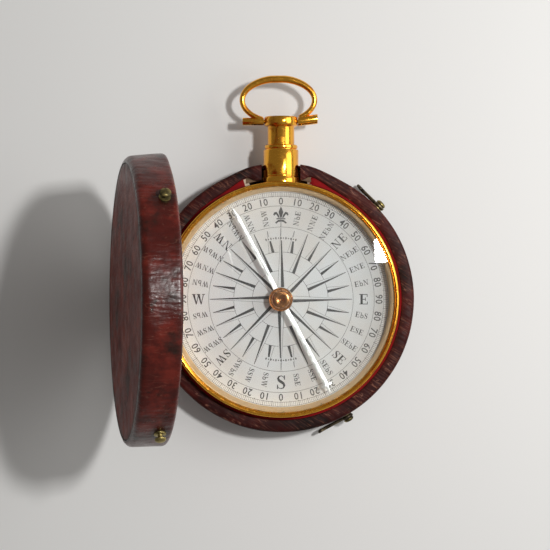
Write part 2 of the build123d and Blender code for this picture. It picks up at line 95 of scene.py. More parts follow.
# ---------------------------------------------------------------- shader building
class Tree:
    """Adds shader nodes to a node tree and links them."""

    def __init__(self, tree: bpy.types.NodeTree) -> None:
        """Keeps the tree.

        Args:
            tree: the node tree to fill.
        """
        self.tree = tree

    def add(self, kind: str, **values: object) -> bpy.types.Node:
        """Adds a node.

        Args:
            kind: the node's type.
            values: its properties.

        Returns:
            The node.
        """
        node = self.tree.nodes.new(kind)
        for name, value in values.items():
            setattr(node, name, value)
        return node

    def feed(self, socket: bpy.types.NodeSocket, value: object) -> None:
        """Links an output to an input socket, or sets the socket's own value.

        Args:
            socket: the input.
            value: an output socket, a number, a vector or a colour.
        """
        if isinstance(value, bpy.types.NodeSocket):
            self.tree.links.new(value, socket)
        elif isinstance(value, tuple) and len(value) == 3 and socket.type == "RGBA":
            socket.default_value = (*value, 1.0)
        else:
            socket.default_value = value

    def math(self, operation: str, a: object, b: object = 0.0, clamp: bool = False) -> bpy.types.NodeSocket:
        """A Math node's result.

        Args:
            operation: its operation.
            a: first value or output.
            b: second value or output.
            clamp: whether the result is held between 0 and 1.

        Returns:
            The output socket.
        """
        node = self.add("ShaderNodeMath", operation=operation, use_clamp=clamp)
        self.feed(node.inputs[0], a)
        self.feed(node.inputs[1], b)
        return node.outputs[0]

    def mix(self, factor: object, a: object, b: object, blend: str = "MIX") -> bpy.types.NodeSocket:
        """A colour Mix node's result.

        Args:
            factor: how much of b.
            a: first colour or output.
            b: second colour or output.
            blend: the blend type.

        Returns:
            The output socket.
        """
        node = self.add("ShaderNodeMix", data_type="RGBA", blend_type=blend)
        self.feed(node.inputs["Factor"], factor)
        self.feed(node.inputs[6], a)
        self.feed(node.inputs[7], b)
        return node.outputs[2]

    def span(
        self, value: object, low: float, high: float, to_low: float = 0.0, to_high: float = 1.0
    ) -> bpy.types.NodeSocket:
        """A smooth Map Range node's result.

        Args:
            value: the output to map.
            low: value that gives to_low.
            high: value that gives to_high.
            to_low: lowest result.
            to_high: highest result.

        Returns:
            The output socket.
        """
        node = self.add("ShaderNodeMapRange", interpolation_type="SMOOTHSTEP")
        names = ("Value", "From Min", "From Max", "To Min", "To Max")
        for name, number in zip(names, (value, low, high, to_low, to_high)):
            self.feed(node.inputs[name], number)
        return node.outputs[0]

    def noise(
        self, vector: object, scale: object, detail: float = 4.0, rough: float = 0.55
    ) -> bpy.types.NodeSocket:
        """A noise texture's value.

        Args:
            vector: the coordinate.
            scale: cells in a metre.
            detail: octaves.
            rough: how strong the fine octaves are.

        Returns:
            The output socket.
        """
        node = self.add("ShaderNodeTexNoise")
        self.feed(node.inputs["Vector"], vector)
        self.feed(node.inputs["Scale"], scale)
        self.feed(node.inputs["Detail"], detail)
        self.feed(node.inputs["Roughness"], rough)
        return node.outputs[0]


def shader_group(
    name: str, inputs: Sequence[tuple[str, str, object]], outputs: Sequence[str]
) -> tuple[bpy.types.NodeTree, Tree, bpy.types.Node, bpy.types.Node]:
    """Starts a shader node group with named sockets.

    Args:
        name: the group's name.
        inputs: (name, socket type, default) of each input.
        outputs: names of its value outputs.

    Returns:
        The group, its Tree, and its input and output nodes.
    """
    group = bpy.data.node_groups.new(name, "ShaderNodeTree")
    for label, kind, default in inputs:
        socket = group.interface.new_socket(name=label, in_out="INPUT", socket_type=kind)
        if default is not None:
            socket.default_value = default
    for label in outputs:
        group.interface.new_socket(name=label, in_out="OUTPUT", socket_type="NodeSocketFloat")
    tree = Tree(group)
    return group, tree, tree.add("NodeGroupInput"), tree.add("NodeGroupOutput")


class Effects:
    """The shared surface effects, each a node group that is built once."""

    def __init__(self) -> None:
        """Builds the groups."""
        self.patches = self._patches()
        self.grain = self._grain()
        self.scratches = self._scratches()

    @staticmethod
    def _patches() -> bpy.types.NodeTree:
        """Soft irregular patches, for tarnish, stains and uneven dye.

        Returns:
            The group.
        """
        group, tree, start, end = shader_group(
            "patches",
            (("Vector", "NodeSocketVector", None), ("Scale", "NodeSocketFloat", 200.0),
             ("Low", "NodeSocketFloat", 0.45), ("High", "NodeSocketFloat", 0.6)),
            ("Mask",),
        )
        cloud = tree.noise(start.outputs["Vector"], start.outputs["Scale"], 7.0, 0.62)
        ramp = tree.add("ShaderNodeMapRange", interpolation_type="SMOOTHSTEP")
        tree.feed(ramp.inputs["Value"], cloud)
        tree.feed(ramp.inputs["From Min"], start.outputs["Low"])
        tree.feed(ramp.inputs["From Max"], start.outputs["High"])
        tree.feed(end.inputs["Mask"], ramp.outputs[0])
        return group

    @staticmethod
    def _grain() -> bpy.types.NodeTree:
        """Raised grain: cells stretched along one direction, with fine pores.

        Returns:
            The group.
        """
        group, tree, start, end = shader_group(
            "grain",
            (("Vector", "NodeSocketVector", None), ("Scale", "NodeSocketFloat", 1500.0),
             ("Pores", "NodeSocketFloat", 0.3)),
            ("Height",),
        )
        cells = tree.add("ShaderNodeTexVoronoi", feature="SMOOTH_F1")
        tree.feed(cells.inputs["Vector"], start.outputs["Vector"])
        tree.feed(cells.inputs["Scale"], start.outputs["Scale"])
        tree.feed(cells.inputs["Smoothness"], 0.6)
        fine_scale = tree.math("MULTIPLY", start.outputs["Scale"], 3.7)
        fine = tree.noise(start.outputs["Vector"], fine_scale, 3.0, 0.6)
        domes = tree.math("SUBTRACT", 1.0, cells.outputs["Distance"])
        height = tree.math("ADD", domes, tree.math("MULTIPLY", fine, start.outputs["Pores"]))
        tree.feed(end.inputs["Height"], height)
        return group

    @staticmethod
    def _scratches() -> bpy.types.NodeTree:
        """Fine scratches: thin lines of stretched noise, also used for the painted highlights along the
        leather's ridges.

        Returns:
            The group.
        """
        group, tree, start, end = shader_group(
            "scratches",
            (("Vector", "NodeSocketVector", None), ("Scale", "NodeSocketFloat", 600.0),
             ("Width", "NodeSocketFloat", 0.012)),
            ("Mask",),
        )
        cloud = tree.noise(start.outputs["Vector"], start.outputs["Scale"], 2.0, 0.5)
        off = tree.math("ABSOLUTE", tree.math("SUBTRACT", cloud, 0.5))
        line = tree.math("SUBTRACT", 1.0, tree.math("DIVIDE", off, start.outputs["Width"]), clamp=True)
        tree.feed(end.inputs["Mask"], line)
        return group


class Skin(Tree):
    """A material with one Principled shader, and the ways its finish is put on."""

    def __init__(self, name: str, effects: Effects) -> None:
        """Starts a material.

        Args:
            name: the material's name.
            effects: the shared groups.
        """
        self.material = bpy.data.materials.new(name)
        self.material.use_nodes = True
        super().__init__(self.material.node_tree)
        self.effects = effects
        self.shader = self.tree.nodes["Principled BSDF"]
        self.place = self.add("ShaderNodeTexCoord").outputs["Object"]

    def stretched(self, turn: Sequence[float], scale: Sequence[float]) -> bpy.types.NodeSocket:
        """Object coordinates turned and then scaled.

        Args:
            turn: turn about each axis, degrees.
            scale: scale along each axis.

        Returns:
            The vector output.
        """
        turned = self.add("ShaderNodeMapping", vector_type="POINT")
        self.feed(turned.inputs["Vector"], self.place)
        turned.inputs["Rotation"].default_value = tuple(math.radians(t) for t in turn)
        scaled = self.add("ShaderNodeMapping", vector_type="POINT")
        self.feed(scaled.inputs["Vector"], turned.outputs[0])
        scaled.inputs["Scale"].default_value = tuple(scale)
        return scaled.outputs[0]

    def effect(self, group: bpy.types.NodeTree, **values: object) -> bpy.types.Node:
        """Places a shared group.

        Args:
            group: the group.
            values: its inputs by name.

        Returns:
            The group node.
        """
        node = self.add("ShaderNodeGroup", node_tree=group)
        for name, value in values.items():
            self.feed(node.inputs[name], value)
        return node

    def patches(self, scale: float, low: float, high: float, vector: object = None) -> bpy.types.NodeSocket:
        """The patches group's mask.

        Args:
            scale: cells in a metre.
            low: noise value where a patch starts.
            high: noise value where it is full.
            vector: the coordinate, or none for Object coordinates.

        Returns:
            The mask output.
        """
        where = self.place if vector is None else vector
        node = self.effect(self.effects.patches, Vector=where, Scale=scale, Low=low, High=high)
        return node.outputs["Mask"]

    def marked(self, name: str) -> bpy.types.NodeSocket:
        """An amount that the mesh carries at each vertex.

        Args:
            name: the attribute's name.

        Returns:
            The amount's output.
        """
        node = self.add("ShaderNodeAttribute", attribute_type="GEOMETRY", attribute_name=name)
        return node.outputs["Fac"]

    def bump(
        self, height: object, depth: float, strength: float = 1.0, normal: object = None
    ) -> bpy.types.NodeSocket:
        """A Bump node's normal.

        Args:
            height: the height output.
            depth: metres from height 0 to 1.
            strength: the bump's strength.
            normal: another Bump's normal, to add to.

        Returns:
            The normal output.
        """
        node = self.add("ShaderNodeBump")
        node.inputs["Strength"].default_value = strength
        node.inputs["Distance"].default_value = depth
        self.feed(node.inputs["Height"], height)
        if normal is not None:
            self.feed(node.inputs["Normal"], normal)
        return node.outputs[0]

    def set(self, **values: object) -> None:
        """Feeds the Principled shader.

        Args:
            values: socket names with _ for spaces, and what feeds them.
        """
        for name, value in values.items():
            self.feed(self.shader.inputs[name.replace("_", " ").title()], value)


# ---------------------------------------------------------------- finishes
@dataclass(frozen=True)
class Leather:
    """Straight-grained goatskin, dyed, rubbed and darkened by age, with painted shade in the grain's valleys
    and the seam, and painted highlights along its ridges.
    """

    name: str
    dye: Colour = (0.030, 0.0044, 0.0040)
    worn: Colour = (0.060, 0.0085, 0.0065)
    dark: Colour = (0.009, 0.0042, 0.0036)
    # dark stain colour, also used for the painted shade in the seam
    stain_and_seam_shade: Colour = (0.007, 0.0065, 0.0045)
    # colour of the scuffs, also used for the painted highlights along the ridges
    scuff_and_highlight: Colour = (0.27, 0.115, 0.075)
    grain_turn: tuple[float, float, float] = (0.0, 0.0, 33.0)
    roughness: float = 0.46
    scuffing: float = 0.75
    # strength of the painted highlights along the ridges
    ridge_highlight: float = 0.38
    gloss: float = 0.13

    def build(self, effects: Effects) -> bpy.types.Material:
        """Makes the material.

        Args:
            effects: the shared groups.

        Returns:
            The material.
        """
        skin = Skin(self.name, effects)
        along = skin.stretched(self.grain_turn, (0.2, 1.0, 0.55))
        grain = skin.effect(effects.grain, Vector=along, Scale=1500.0, Pores=0.35)
        colour = self.dyed_and_valley_shaded(skin, grain.outputs["Height"])
        line = skin.effect(effects.scratches, Vector=along, Scale=900.0, Width=0.022).outputs["Mask"]
        marks = skin.math("MULTIPLY", line, skin.patches(330.0, 0.50, 0.60), clamp=True)
        marks = skin.math("MULTIPLY", marks, self.scuffing, clamp=True)
        colour = self.aged(skin, skin.mix(marks, colour, self.scuff_and_highlight))
        smooth, rough = self.roughness - 0.05, self.roughness + 0.10
        spread = skin.span(skin.noise(skin.place, 260.0), 0.3, 0.7, smooth, rough)
        broad = skin.bump(skin.noise(skin.place, 240.0, 3.0), 0.00030, 0.7)
        fine = skin.bump(grain.outputs["Height"], 0.00006, 1.0, broad)
        skin.set(base_color=colour, roughness=spread, normal=skin.bump(marks, 0.00004, 0.6, fine))
        skin.shader.inputs["Specular IOR Level"].default_value = self.gloss
        return skin.material

    def dyed_and_valley_shaded(self, skin: Skin, height: bpy.types.NodeSocket) -> bpy.types.NodeSocket:
        """The uneven dye, with painted shade darkening the valleys of the grain.

        Args:
            skin: the material.
            height: the grain's height.

        Returns:
            The colour output.
        """
        colour = skin.mix(skin.patches(170.0, 0.46, 0.62), self.dye, self.worn)
        colour = skin.mix(skin.patches(95.0, 0.50, 0.66), colour, self.dark)
        colour = skin.mix(skin.patches(310.0, 0.60, 0.74), colour, self.stain_and_seam_shade)
        # painted shade: the grain's valleys darkened
        valley_shade = skin.mix(skin.span(height, 0.35, 0.85, 0.62, 1.0), (0.45, 0.4, 0.4), (1.0, 1.0, 1.0))
        return skin.mix(1.0, colour, valley_shade, "MULTIPLY")

    def aged(self, skin: Skin, colour: bpy.types.NodeSocket) -> bpy.types.NodeSocket:
        """Painted highlights along the grain's ridges, painted shade in the seam with dark stains round the
        pins, and worn edges over the dye.

        Args:
            skin: the material.
            colour: the dye's colour.

        Returns:
            The colour output.
        """
        # painted highlights: pale lines along the grain's ridges, in the scuff colour
        along = skin.stretched(self.grain_turn, (0.07, 1.0, 0.5))
        ridge_highlight_mask = skin.effect(skin.effects.scratches, Vector=along, Scale=1500.0, Width=0.030).outputs["Mask"]
        ridge_highlight_mask = skin.math("MULTIPLY", ridge_highlight_mask, skin.patches(420.0, 0.38, 0.58), clamp=True)
        colour = skin.mix(skin.math("MULTIPLY", ridge_highlight_mask, self.ridge_highlight), colour, self.scuff_and_highlight)
        # towards the stain colour: painted shade along the seam, real stains round the pins
        stain_and_shade_breakup = skin.span(skin.noise(skin.place, 900.0), 0.30, 0.52, 0.55, 1.0)
        colour = skin.mix(skin.math("MULTIPLY", skin.marked("seam_shade_and_stain"), stain_and_shade_breakup), colour, self.stain_and_seam_shade)
        edge = skin.math("MULTIPLY", skin.marked("edge"), skin.patches(500.0, 0.42, 0.60), clamp=True)
        return skin.mix(skin.math("MULTIPLY", edge, 0.35), colour, self.worn)


@dataclass(frozen=True)
class Metal:
    """Brass or steel, polished or dulled, with tarnish and fine scratches."""

    name: str
    colour: Colour
    tarnish: Colour
    roughness: float = 0.2
    tarnish_low: float = 0.56
    tarnish_high: float = 0.75
    scratch_turn: tuple[float, float, float] = (0.0, 0.0, 20.0)

    def build(self, effects: Effects) -> bpy.types.Material:
        """Makes the material.

        Args:
            effects: the shared groups.

        Returns:
            The material.
        """
        skin = Skin(self.name, effects)
        dull = skin.patches(380.0, self.tarnish_low, self.tarnish_high)
        colour = skin.mix(dull, self.colour, self.tarnish)
        along = skin.stretched(self.scratch_turn, (0.12, 1.0, 1.0))
        line = skin.effect(effects.scratches, Vector=along, Scale=1800.0, Width=0.012).outputs["Mask"]
        cloud = skin.noise(skin.place, 900.0, 5.0)
        rough = skin.span(cloud, 0.3, 0.72, self.roughness * 0.75, self.roughness * 1.45)
        rough = skin.math("ADD", rough, skin.math("MULTIPLY", dull, 0.22))
        rough = skin.math("ADD", rough, skin.math("MULTIPLY", line, 0.12), clamp=True)
        pits = skin.bump(skin.noise(skin.place, 2600.0, 3.0), 0.000006, 0.5)
        skin.set(base_color=colour, roughness=rough, normal=skin.bump(line, 0.000004, 0.5, pits))
        skin.shader.inputs["Metallic"].default_value = 1.0
        return skin.material


@dataclass(frozen=True)
class Nap:
    """Velvet-faced or dyed paper lining."""

    name: str
    colour: Colour
    faded: Colour
    sheen: float = 0.5

    def build(self, effects: Effects) -> bpy.types.Material:
        """Makes the material.

        Args:
            effects: the shared groups.

        Returns:
            The material.
        """
        skin = Skin(self.name, effects)
        grain = skin.effect(effects.grain, Vector=skin.place, Scale=5200.0, Pores=0.5)
        colour = skin.mix(skin.patches(260.0, 0.45, 0.68), self.colour, self.faded)
        pile = skin.span(skin.noise(skin.place, 3800.0, 3.0), 0.3, 0.7, 0.72, 1.0)
        colour = skin.mix(1.0, colour, skin.mix(pile, (0.5, 0.5, 0.5), (1.0, 1.0, 1.0)), "MULTIPLY")
        skin.set(base_color=colour, normal=skin.bump(grain.outputs["Height"], 0.00005, 0.8))
        skin.shader.inputs["Roughness"].default_value = 0.85
        skin.shader.inputs["Sheen Weight"].default_value = self.sheen
        skin.shader.inputs["Sheen Roughness"].default_value = 0.4
        skin.shader.inputs["Specular IOR Level"].default_value = 0.22
        return skin.material


@dataclass(frozen=True)
class Paper:
    """Printed card, a little foxed, or the ink on it."""

    name: str
    colour: Colour
    aged: Colour
    roughness: float = 0.8
    foxing: float = 0.5

    def build(self, effects: Effects) -> bpy.types.Material:
        """Makes the material.

        Args:
            effects: the shared groups.

        Returns:
            The material.
        """
        skin = Skin(self.name, effects)
        age = skin.math("MULTIPLY", skin.patches(70.0, 0.40, 0.72), self.foxing)
        colour = skin.mix(age, self.colour, self.aged)
        spots = skin.math("MULTIPLY", skin.patches(900.0, 0.72, 0.80), self.foxing)
        colour = skin.mix(spots, colour, self.aged)
        fibre = skin.noise(skin.stretched((0.0, 0.0, 30.0), (0.3, 1.0, 1.0)), 5000.0, 3.0)
        skin.set(base_color=colour, normal=skin.bump(fibre, 0.000008, 0.5))
        skin.shader.inputs["Roughness"].default_value = self.roughness
        return skin.material


@dataclass(frozen=True)
class Wood:
    """Bare turned wood."""

    name: str
    early: Colour = (0.16, 0.095, 0.05)
    late: Colour = (0.08, 0.045, 0.024)

    def build(self, effects: Effects) -> bpy.types.Material:
        """Makes the material.

        Args:
            effects: the shared groups.

        Returns:
            The material.
        """
        skin = Skin(self.name, effects)
        along = skin.stretched((0.0, 0.0, 12.0), (0.12, 1.0, 1.0))
        figure = skin.span(skin.noise(along, 900.0, 5.0), 0.35, 0.65)
        colour = skin.mix(figure, self.early, self.late)
        skin.set(base_color=colour, normal=skin.bump(figure, 0.00003, 0.6))
        skin.shader.inputs["Roughness"].default_value = 0.75
        return skin.material


@dataclass(frozen=True)
class Glazing:
    """Clear old glass, which lets light through to the dial."""

    name: str
    tint: Colour = (0.975, 0.985, 0.98)

    def build(self, effects: Effects) -> bpy.types.Material:
        """Makes the material.

        Args:
            effects: the shared groups.

        Returns:
            The material.
        """
        skin = Skin(self.name, effects)
        sweep = skin.stretched((0.0, 0.0, 40.0), (0.3, 1.0, 1.0))
        hair = skin.effect(effects.scratches, Vector=sweep, Scale=700.0, Width=0.004).outputs["Mask"]
        haze = skin.patches(120.0, 0.52, 0.75)
        film = skin.math("ADD", skin.math("MULTIPLY", haze, 0.02), skin.math("MULTIPLY", hair, 0.05))
        waves = skin.bump(skin.noise(skin.place, 40.0, 1.0), 0.000005, 0.2)
        skin.set(base_color=self.tint, roughness=film, normal=waves)
        skin.shader.inputs["Transmission Weight"].default_value = 1.0
        skin.shader.inputs["IOR"].default_value = 1.5
        clear = skin.add("ShaderNodeBsdfTransparent")
        clear.inputs["Color"].default_value = (*self.tint, 1.0)
        mixed = skin.add("ShaderNodeMixShader")
        path = skin.add("ShaderNodeLightPath")
        through = skin.math("ADD", path.outputs["Is Shadow Ray"], path.outputs["Is Diffuse Ray"], clamp=True)
        skin.feed(mixed.inputs[0], through)
        skin.tree.links.new(skin.shader.outputs[0], mixed.inputs[1])
        skin.tree.links.new(clear.outputs[0], mixed.inputs[2])
        skin.tree.links.new(mixed.outputs[0], skin.tree.nodes["Material Output"].inputs["Surface"])
        return skin.material


class Finishes:
    """Every finish of the compass and its case."""

    def __init__(self) -> None:
        """Builds the materials."""
        effects = Effects()
        self.rim = Leather("rim_leather").build(effects)
        straight = (0.0, 0.0, 0.0)
        self.lid = Leather(
            "lid_leather", dye=(0.062, 0.0062, 0.0036), worn=(0.120, 0.0125, 0.0070),
            dark=(0.019, 0.0070, 0.0045), grain_turn=straight, roughness=0.25, scuffing=0.25, ridge_highlight=0.0,
            gloss=0.33,
        ).build(effects)
        # painted light: a brightened copy of the lid leather for the face, standing in for light the face
        # gets from the room's left
        self.lid_face = Leather(
            "lid_face_leather", dye=(0.145, 0.0150, 0.0080), worn=(0.235, 0.034, 0.018),
            dark=(0.055, 0.0150, 0.0100), grain_turn=straight, roughness=0.38, scuffing=0.25, ridge_highlight=0.0,
            gloss=0.10,
        ).build(effects)
        self.gilt = Metal(
            "gilt", (0.93, 0.44, 0.050), (0.50, 0.17, 0.018), 0.15, 0.52, 0.70
        ).build(effects)
        self.ring = Metal("ring_brass", (0.78, 0.56, 0.31), (0.52, 0.33, 0.15), 0.36).build(effects)
        self.tarnished = Metal(
            "tarnished_brass", (0.34, 0.27, 0.10), (0.07, 0.06, 0.03), 0.36, 0.44, 0.62
        ).build(effects)
        self.wire = Metal("dark_wire", (0.20, 0.16, 0.10), (0.05, 0.04, 0.03), 0.34, 0.42, 0.6).build(effects)
        self.plain = Metal("plain_brass", (0.72, 0.52, 0.24), (0.40, 0.26, 0.10), 0.28).build(effects)
        self.cap = Metal("cap_brass", (0.47, 0.205, 0.075), (0.28, 0.10, 0.03), 0.16).build(effects)
        self.steel = Metal(
            "bright_steel", (0.80, 0.81, 0.80), (0.52, 0.48, 0.44), 0.40, 0.60, 0.78
        ).build(effects)
        self.velvet = Nap(
            "crimson_lining", (0.235, 0.0022, 0.0042), (0.14, 0.002, 0.003), 0.02
        ).build(effects)
        self.card_edge = Paper("card_edge", (0.52, 0.44, 0.34), (0.30, 0.22, 0.15), 0.9).build(effects)
        self.paper = Paper("dial_paper", (0.70, 0.72, 0.735), (0.655, 0.61, 0.56), 0.75, 0.6).build(effects)
        self.ink = Paper("printing_ink", (0.020, 0.020, 0.022), (0.08, 0.075, 0.07), 0.6, 0.7).build(effects)
        self.fine_ink = Paper("fine_ink", (0.035, 0.035, 0.038), (0.12, 0.11, 0.10), 0.6, 0.7).build(effects)
        self.wood = Wood("turned_wood").build(effects)
        self.glass = Glazing("clear_glass").build(effects)
        self.jewel = Paper("agate", (0.32, 0.10, 0.05), (0.5, 0.2, 0.1), 0.1, 0.8).build(effects)


# ---------------------------------------------------------------- meshes
def node_box(name: str) -> tuple[Vector, Vector]:
    """A CAD node's corners at rest.

    Args:
        name: the node.

    Returns:
        Its lowest and highest corner, in millimetres.
    """
    low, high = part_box(name)
    return low / MM, high / MM


def lathe(
    outline: Sequence[Point], steps: int, closed: bool = True, start: float = 0.0, angle: float = TURN
) -> bmesh.types.BMesh:
    """A shape turned about Z.

    Args:
        outline: (radius, height) points.
        steps: how many faces round.
        closed: whether the outline's last point joins its first.
        start: the angle where it starts, radians.
        angle: how far it turns; less than a full turn is capped at both ends.

    Returns:
        The mesh.
    """
    shape = bmesh.new()
    verts = [shape.verts.new((r, 0, z)) for r, z in outline]
    edges = [shape.edges.new(pair) for pair in zip(verts, verts[1:])]
    if closed:
        edges.append(shape.edges.new((verts[-1], verts[0])))
    bmesh.ops.rotate(shape, verts=verts, cent=(0, 0, 0), matrix=Matrix.Rotation(start, 3, "Z"))
    whole = angle >= TURN
    swept = bmesh.ops.spin(
        shape, geom=verts + edges, cent=(0, 0, 0), axis=(0, 0, 1), angle=angle, steps=steps, use_merge=whole
    )
    if closed and not whole:
        last = [e for e in swept["geom_last"] if isinstance(e, bmesh.types.BMEdge)]
        bmesh.ops.holes_fill(shape, edges=edges + last, sides=0)
    tidy(shape)
    return shape


def tidy(shape: bmesh.types.BMesh) -> None:
    """Merges doubles and turns every face outwards.

    Args:
        shape: the mesh.
    """
    bmesh.ops.remove_doubles(shape, verts=shape.verts[:], dist=MERGE)
    bmesh.ops.dissolve_degenerate(shape, dist=MERGE, edges=shape.edges[:])
    bmesh.ops.recalc_face_normals(shape, faces=shape.faces[:])


def soften(
    shape: bmesh.types.BMesh, radius: float, segments: int = 3, sharper: float = 40.0,
    where: Callable[[Vector], bool] = lambda p: True,
) -> None:
    """Rounds the sharp edges.

    Args:
        shape: the mesh.
        radius: the bevel's width.
        segments: its segments.
        sharper: least angle between faces, degrees.
        where: whether the edge with this middle is rounded.
    """
    limit = math.radians(sharper)
    edges = [
        e for e in shape.edges
        if len(e.link_faces) == 2 and e.calc_face_angle(0) > limit
        and where((e.verts[0].co + e.verts[1].co) / 2)
    ]
    bmesh.ops.bevel(
        shape, geom=edges, offset=radius, offset_type="OFFSET", segments=segments, profile=0.5,
        affect="EDGES", material=-1, clamp_overlap=True,
    )


def turned_to(shape: bmesh.types.BMesh, direction: Vector, at: Vector) -> bmesh.types.BMesh:
    """Turns a shape's +Z to a direction and moves it.

    Args:
        shape: the mesh.
        direction: where its +Z goes.
        at: where its origin goes.

    Returns:
        The same mesh.
    """
    turn = direction.to_track_quat("Z", "Y").to_matrix().to_4x4()
    bmesh.ops.transform(shape, matrix=Matrix.Translation(at) @ turn, verts=shape.verts[:])
    return shape


def join(shape: bmesh.types.BMesh, others: Sequence[bmesh.types.BMesh]) -> bmesh.types.BMesh:
    """Adds other meshes to a mesh and frees them.

    Args:
        shape: the mesh to add to.
        others: the meshes to add.

    Returns:
        The first mesh.
    """
    for other in others:
        mesh = bpy.data.meshes.new("joined")
        other.to_mesh(mesh)
        other.free()
        shape.from_mesh(mesh)
        bpy.data.meshes.remove(mesh)
    return shape


def flat_shape(shape: bmesh.types.BMesh, outline: Sequence[Point], low: float, thick: float) -> None:
    """Adds a flat plate with this outline.

    Args:
        shape: the mesh to add to.
        outline: (x, y) corners in order.
        low: height of its underside.
        thick: its thickness.
    """
    face = shape.faces.new([shape.verts.new((x, y, low)) for x, y in outline])
    grown = bmesh.ops.extrude_face_region(shape, geom=[face])
    top = [v for v in grown["geom"] if isinstance(v, bmesh.types.BMVert)]
    bmesh.ops.translate(shape, verts=top, vec=(0, 0, thick))


def as_bmesh(obj: bpy.types.Object) -> bmesh.types.BMesh:
    """An object's finished mesh, with the object removed.

    Args:
        obj: a mesh, curve or text object.

    Returns:
        The mesh, in the object's own units.
    """
    bpy.context.scene.collection.objects.link(obj)
    graph = bpy.context.evaluated_depsgraph_get()
    mesh = bpy.data.meshes.new_from_object(obj.evaluated_get(graph))
    shape = bmesh.new()
    shape.from_mesh(mesh)
    data = obj.data
    bpy.data.objects.remove(obj)
    bpy.data.meshes.remove(mesh)
    if isinstance(data, bpy.types.Mesh):
        bpy.data.meshes.remove(data)
    else:
        bpy.data.curves.remove(data)
    return shape


def combined(shape: bmesh.types.BMesh, other: bmesh.types.BMesh, operation: str) -> bmesh.types.BMesh:
    """A boolean of two closed meshes.

    Args:
        shape: the first mesh.
        other: the second mesh.
        operation: DIFFERENCE or UNION.

    Returns:
        The result; both meshes are freed.
    """
    objects = []
    for label, part in (("kept", shape), ("tool", other)):
        mesh = bpy.data.meshes.new(label)
        part.to_mesh(mesh)
        part.free()
        objects.append(bpy.data.objects.new(label, mesh))
    kept, tool = objects
    bpy.context.scene.collection.objects.link(tool)
    modifier = kept.modifiers.new("boolean", "BOOLEAN")
    modifier.object = tool
    modifier.operation = operation
    modifier.solver = "EXACT"
    result = as_bmesh(kept)
    tool_mesh = tool.data
    bpy.data.objects.remove(tool)
    bpy.data.meshes.remove(tool_mesh)
    return result


def wire(points: Sequence[Vector], radii: Sequence[float], sides: int = 5) -> bmesh.types.BMesh:
    """A round wire along a smooth line.

    Args:
        points: the line it follows.
        radii: its radius at each point.
        sides: the bevel's resolution.

    Returns:
        The mesh.
    """
    curve = bpy.data.curves.new("wire", "CURVE")
    curve.dimensions = "3D"
    curve.bevel_depth = 1.0
    curve.bevel_resolution = sides
    curve.use_fill_caps = True
    curve.resolution_u = 6
    spline = curve.splines.new("NURBS")
    spline.points.add(len(points) - 1)
    for control, place, radius in zip(spline.points, points, radii):
        control.co = (*place, 1.0)
        control.radius = radius
    spline.order_u = 3
    spline.use_endpoint_u = True
    shape = as_bmesh(bpy.data.objects.new("wire", curve))
    tidy(shape)
    return shape


def edge_attribute(shape: bmesh.types.BMesh) -> None:
    """Marks how near each vertex is to a rounded outer edge, for the finish to read.

    Args:
        shape: the mesh.
    """
    layer = shape.verts.layers.float.new("edge")
    for vert in shape.verts:
        bends = [
            e.calc_face_angle_signed(0) / max(e.calc_length(), 0.2)
            for e in vert.link_edges if len(e.link_faces) == 2
        ]
        vert[layer] = min(1.0, max(0.0, sum(bends) * 0.35))


@dataclass
class Piece:
    """A finished mesh on its way into the scene."""

    name: str
    shape: bmesh.types.BMesh
    materials: Sequence[bpy.types.Material]
    body: Body
    slot: Slot
    stands_for: Sequence[str] = ()
    place: Matrix = field(default_factory=lambda: Matrix.Identity(4))
    sharp: float = 38.0
    rides: bool = True

    def add(self) -> bpy.types.Object:
        """Makes the object, dresses it and ties it to its body.

        Returns:
            The object.
        """
        bmesh.ops.transform(self.shape, matrix=Matrix.Scale(MM, 4) @ self.place, verts=self.shape.verts[:])
        if self.place.determinant() < 0:
            bmesh.ops.reverse_faces(self.shape, faces=self.shape.faces[:])
        mesh = bpy.data.meshes.new(self.name)
        self.shape.to_mesh(mesh)
        self.shape.free()
        mesh.shade_smooth()
        mesh.set_sharp_from_angle(angle=math.radians(self.sharp))
        for material in self.materials:
            mesh.materials.append(material)
        obj = bpy.data.objects.new(self.name, mesh)
        bpy.context.scene.collection.objects.link(obj)
        if self.rides:
            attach(obj, self.body.value)
        if self.stands_for:
            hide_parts(*self.stands_for)
        LOG.info("%s: %d faces, on %s", self.name, len(mesh.polygons), self.body.value)
        return obj


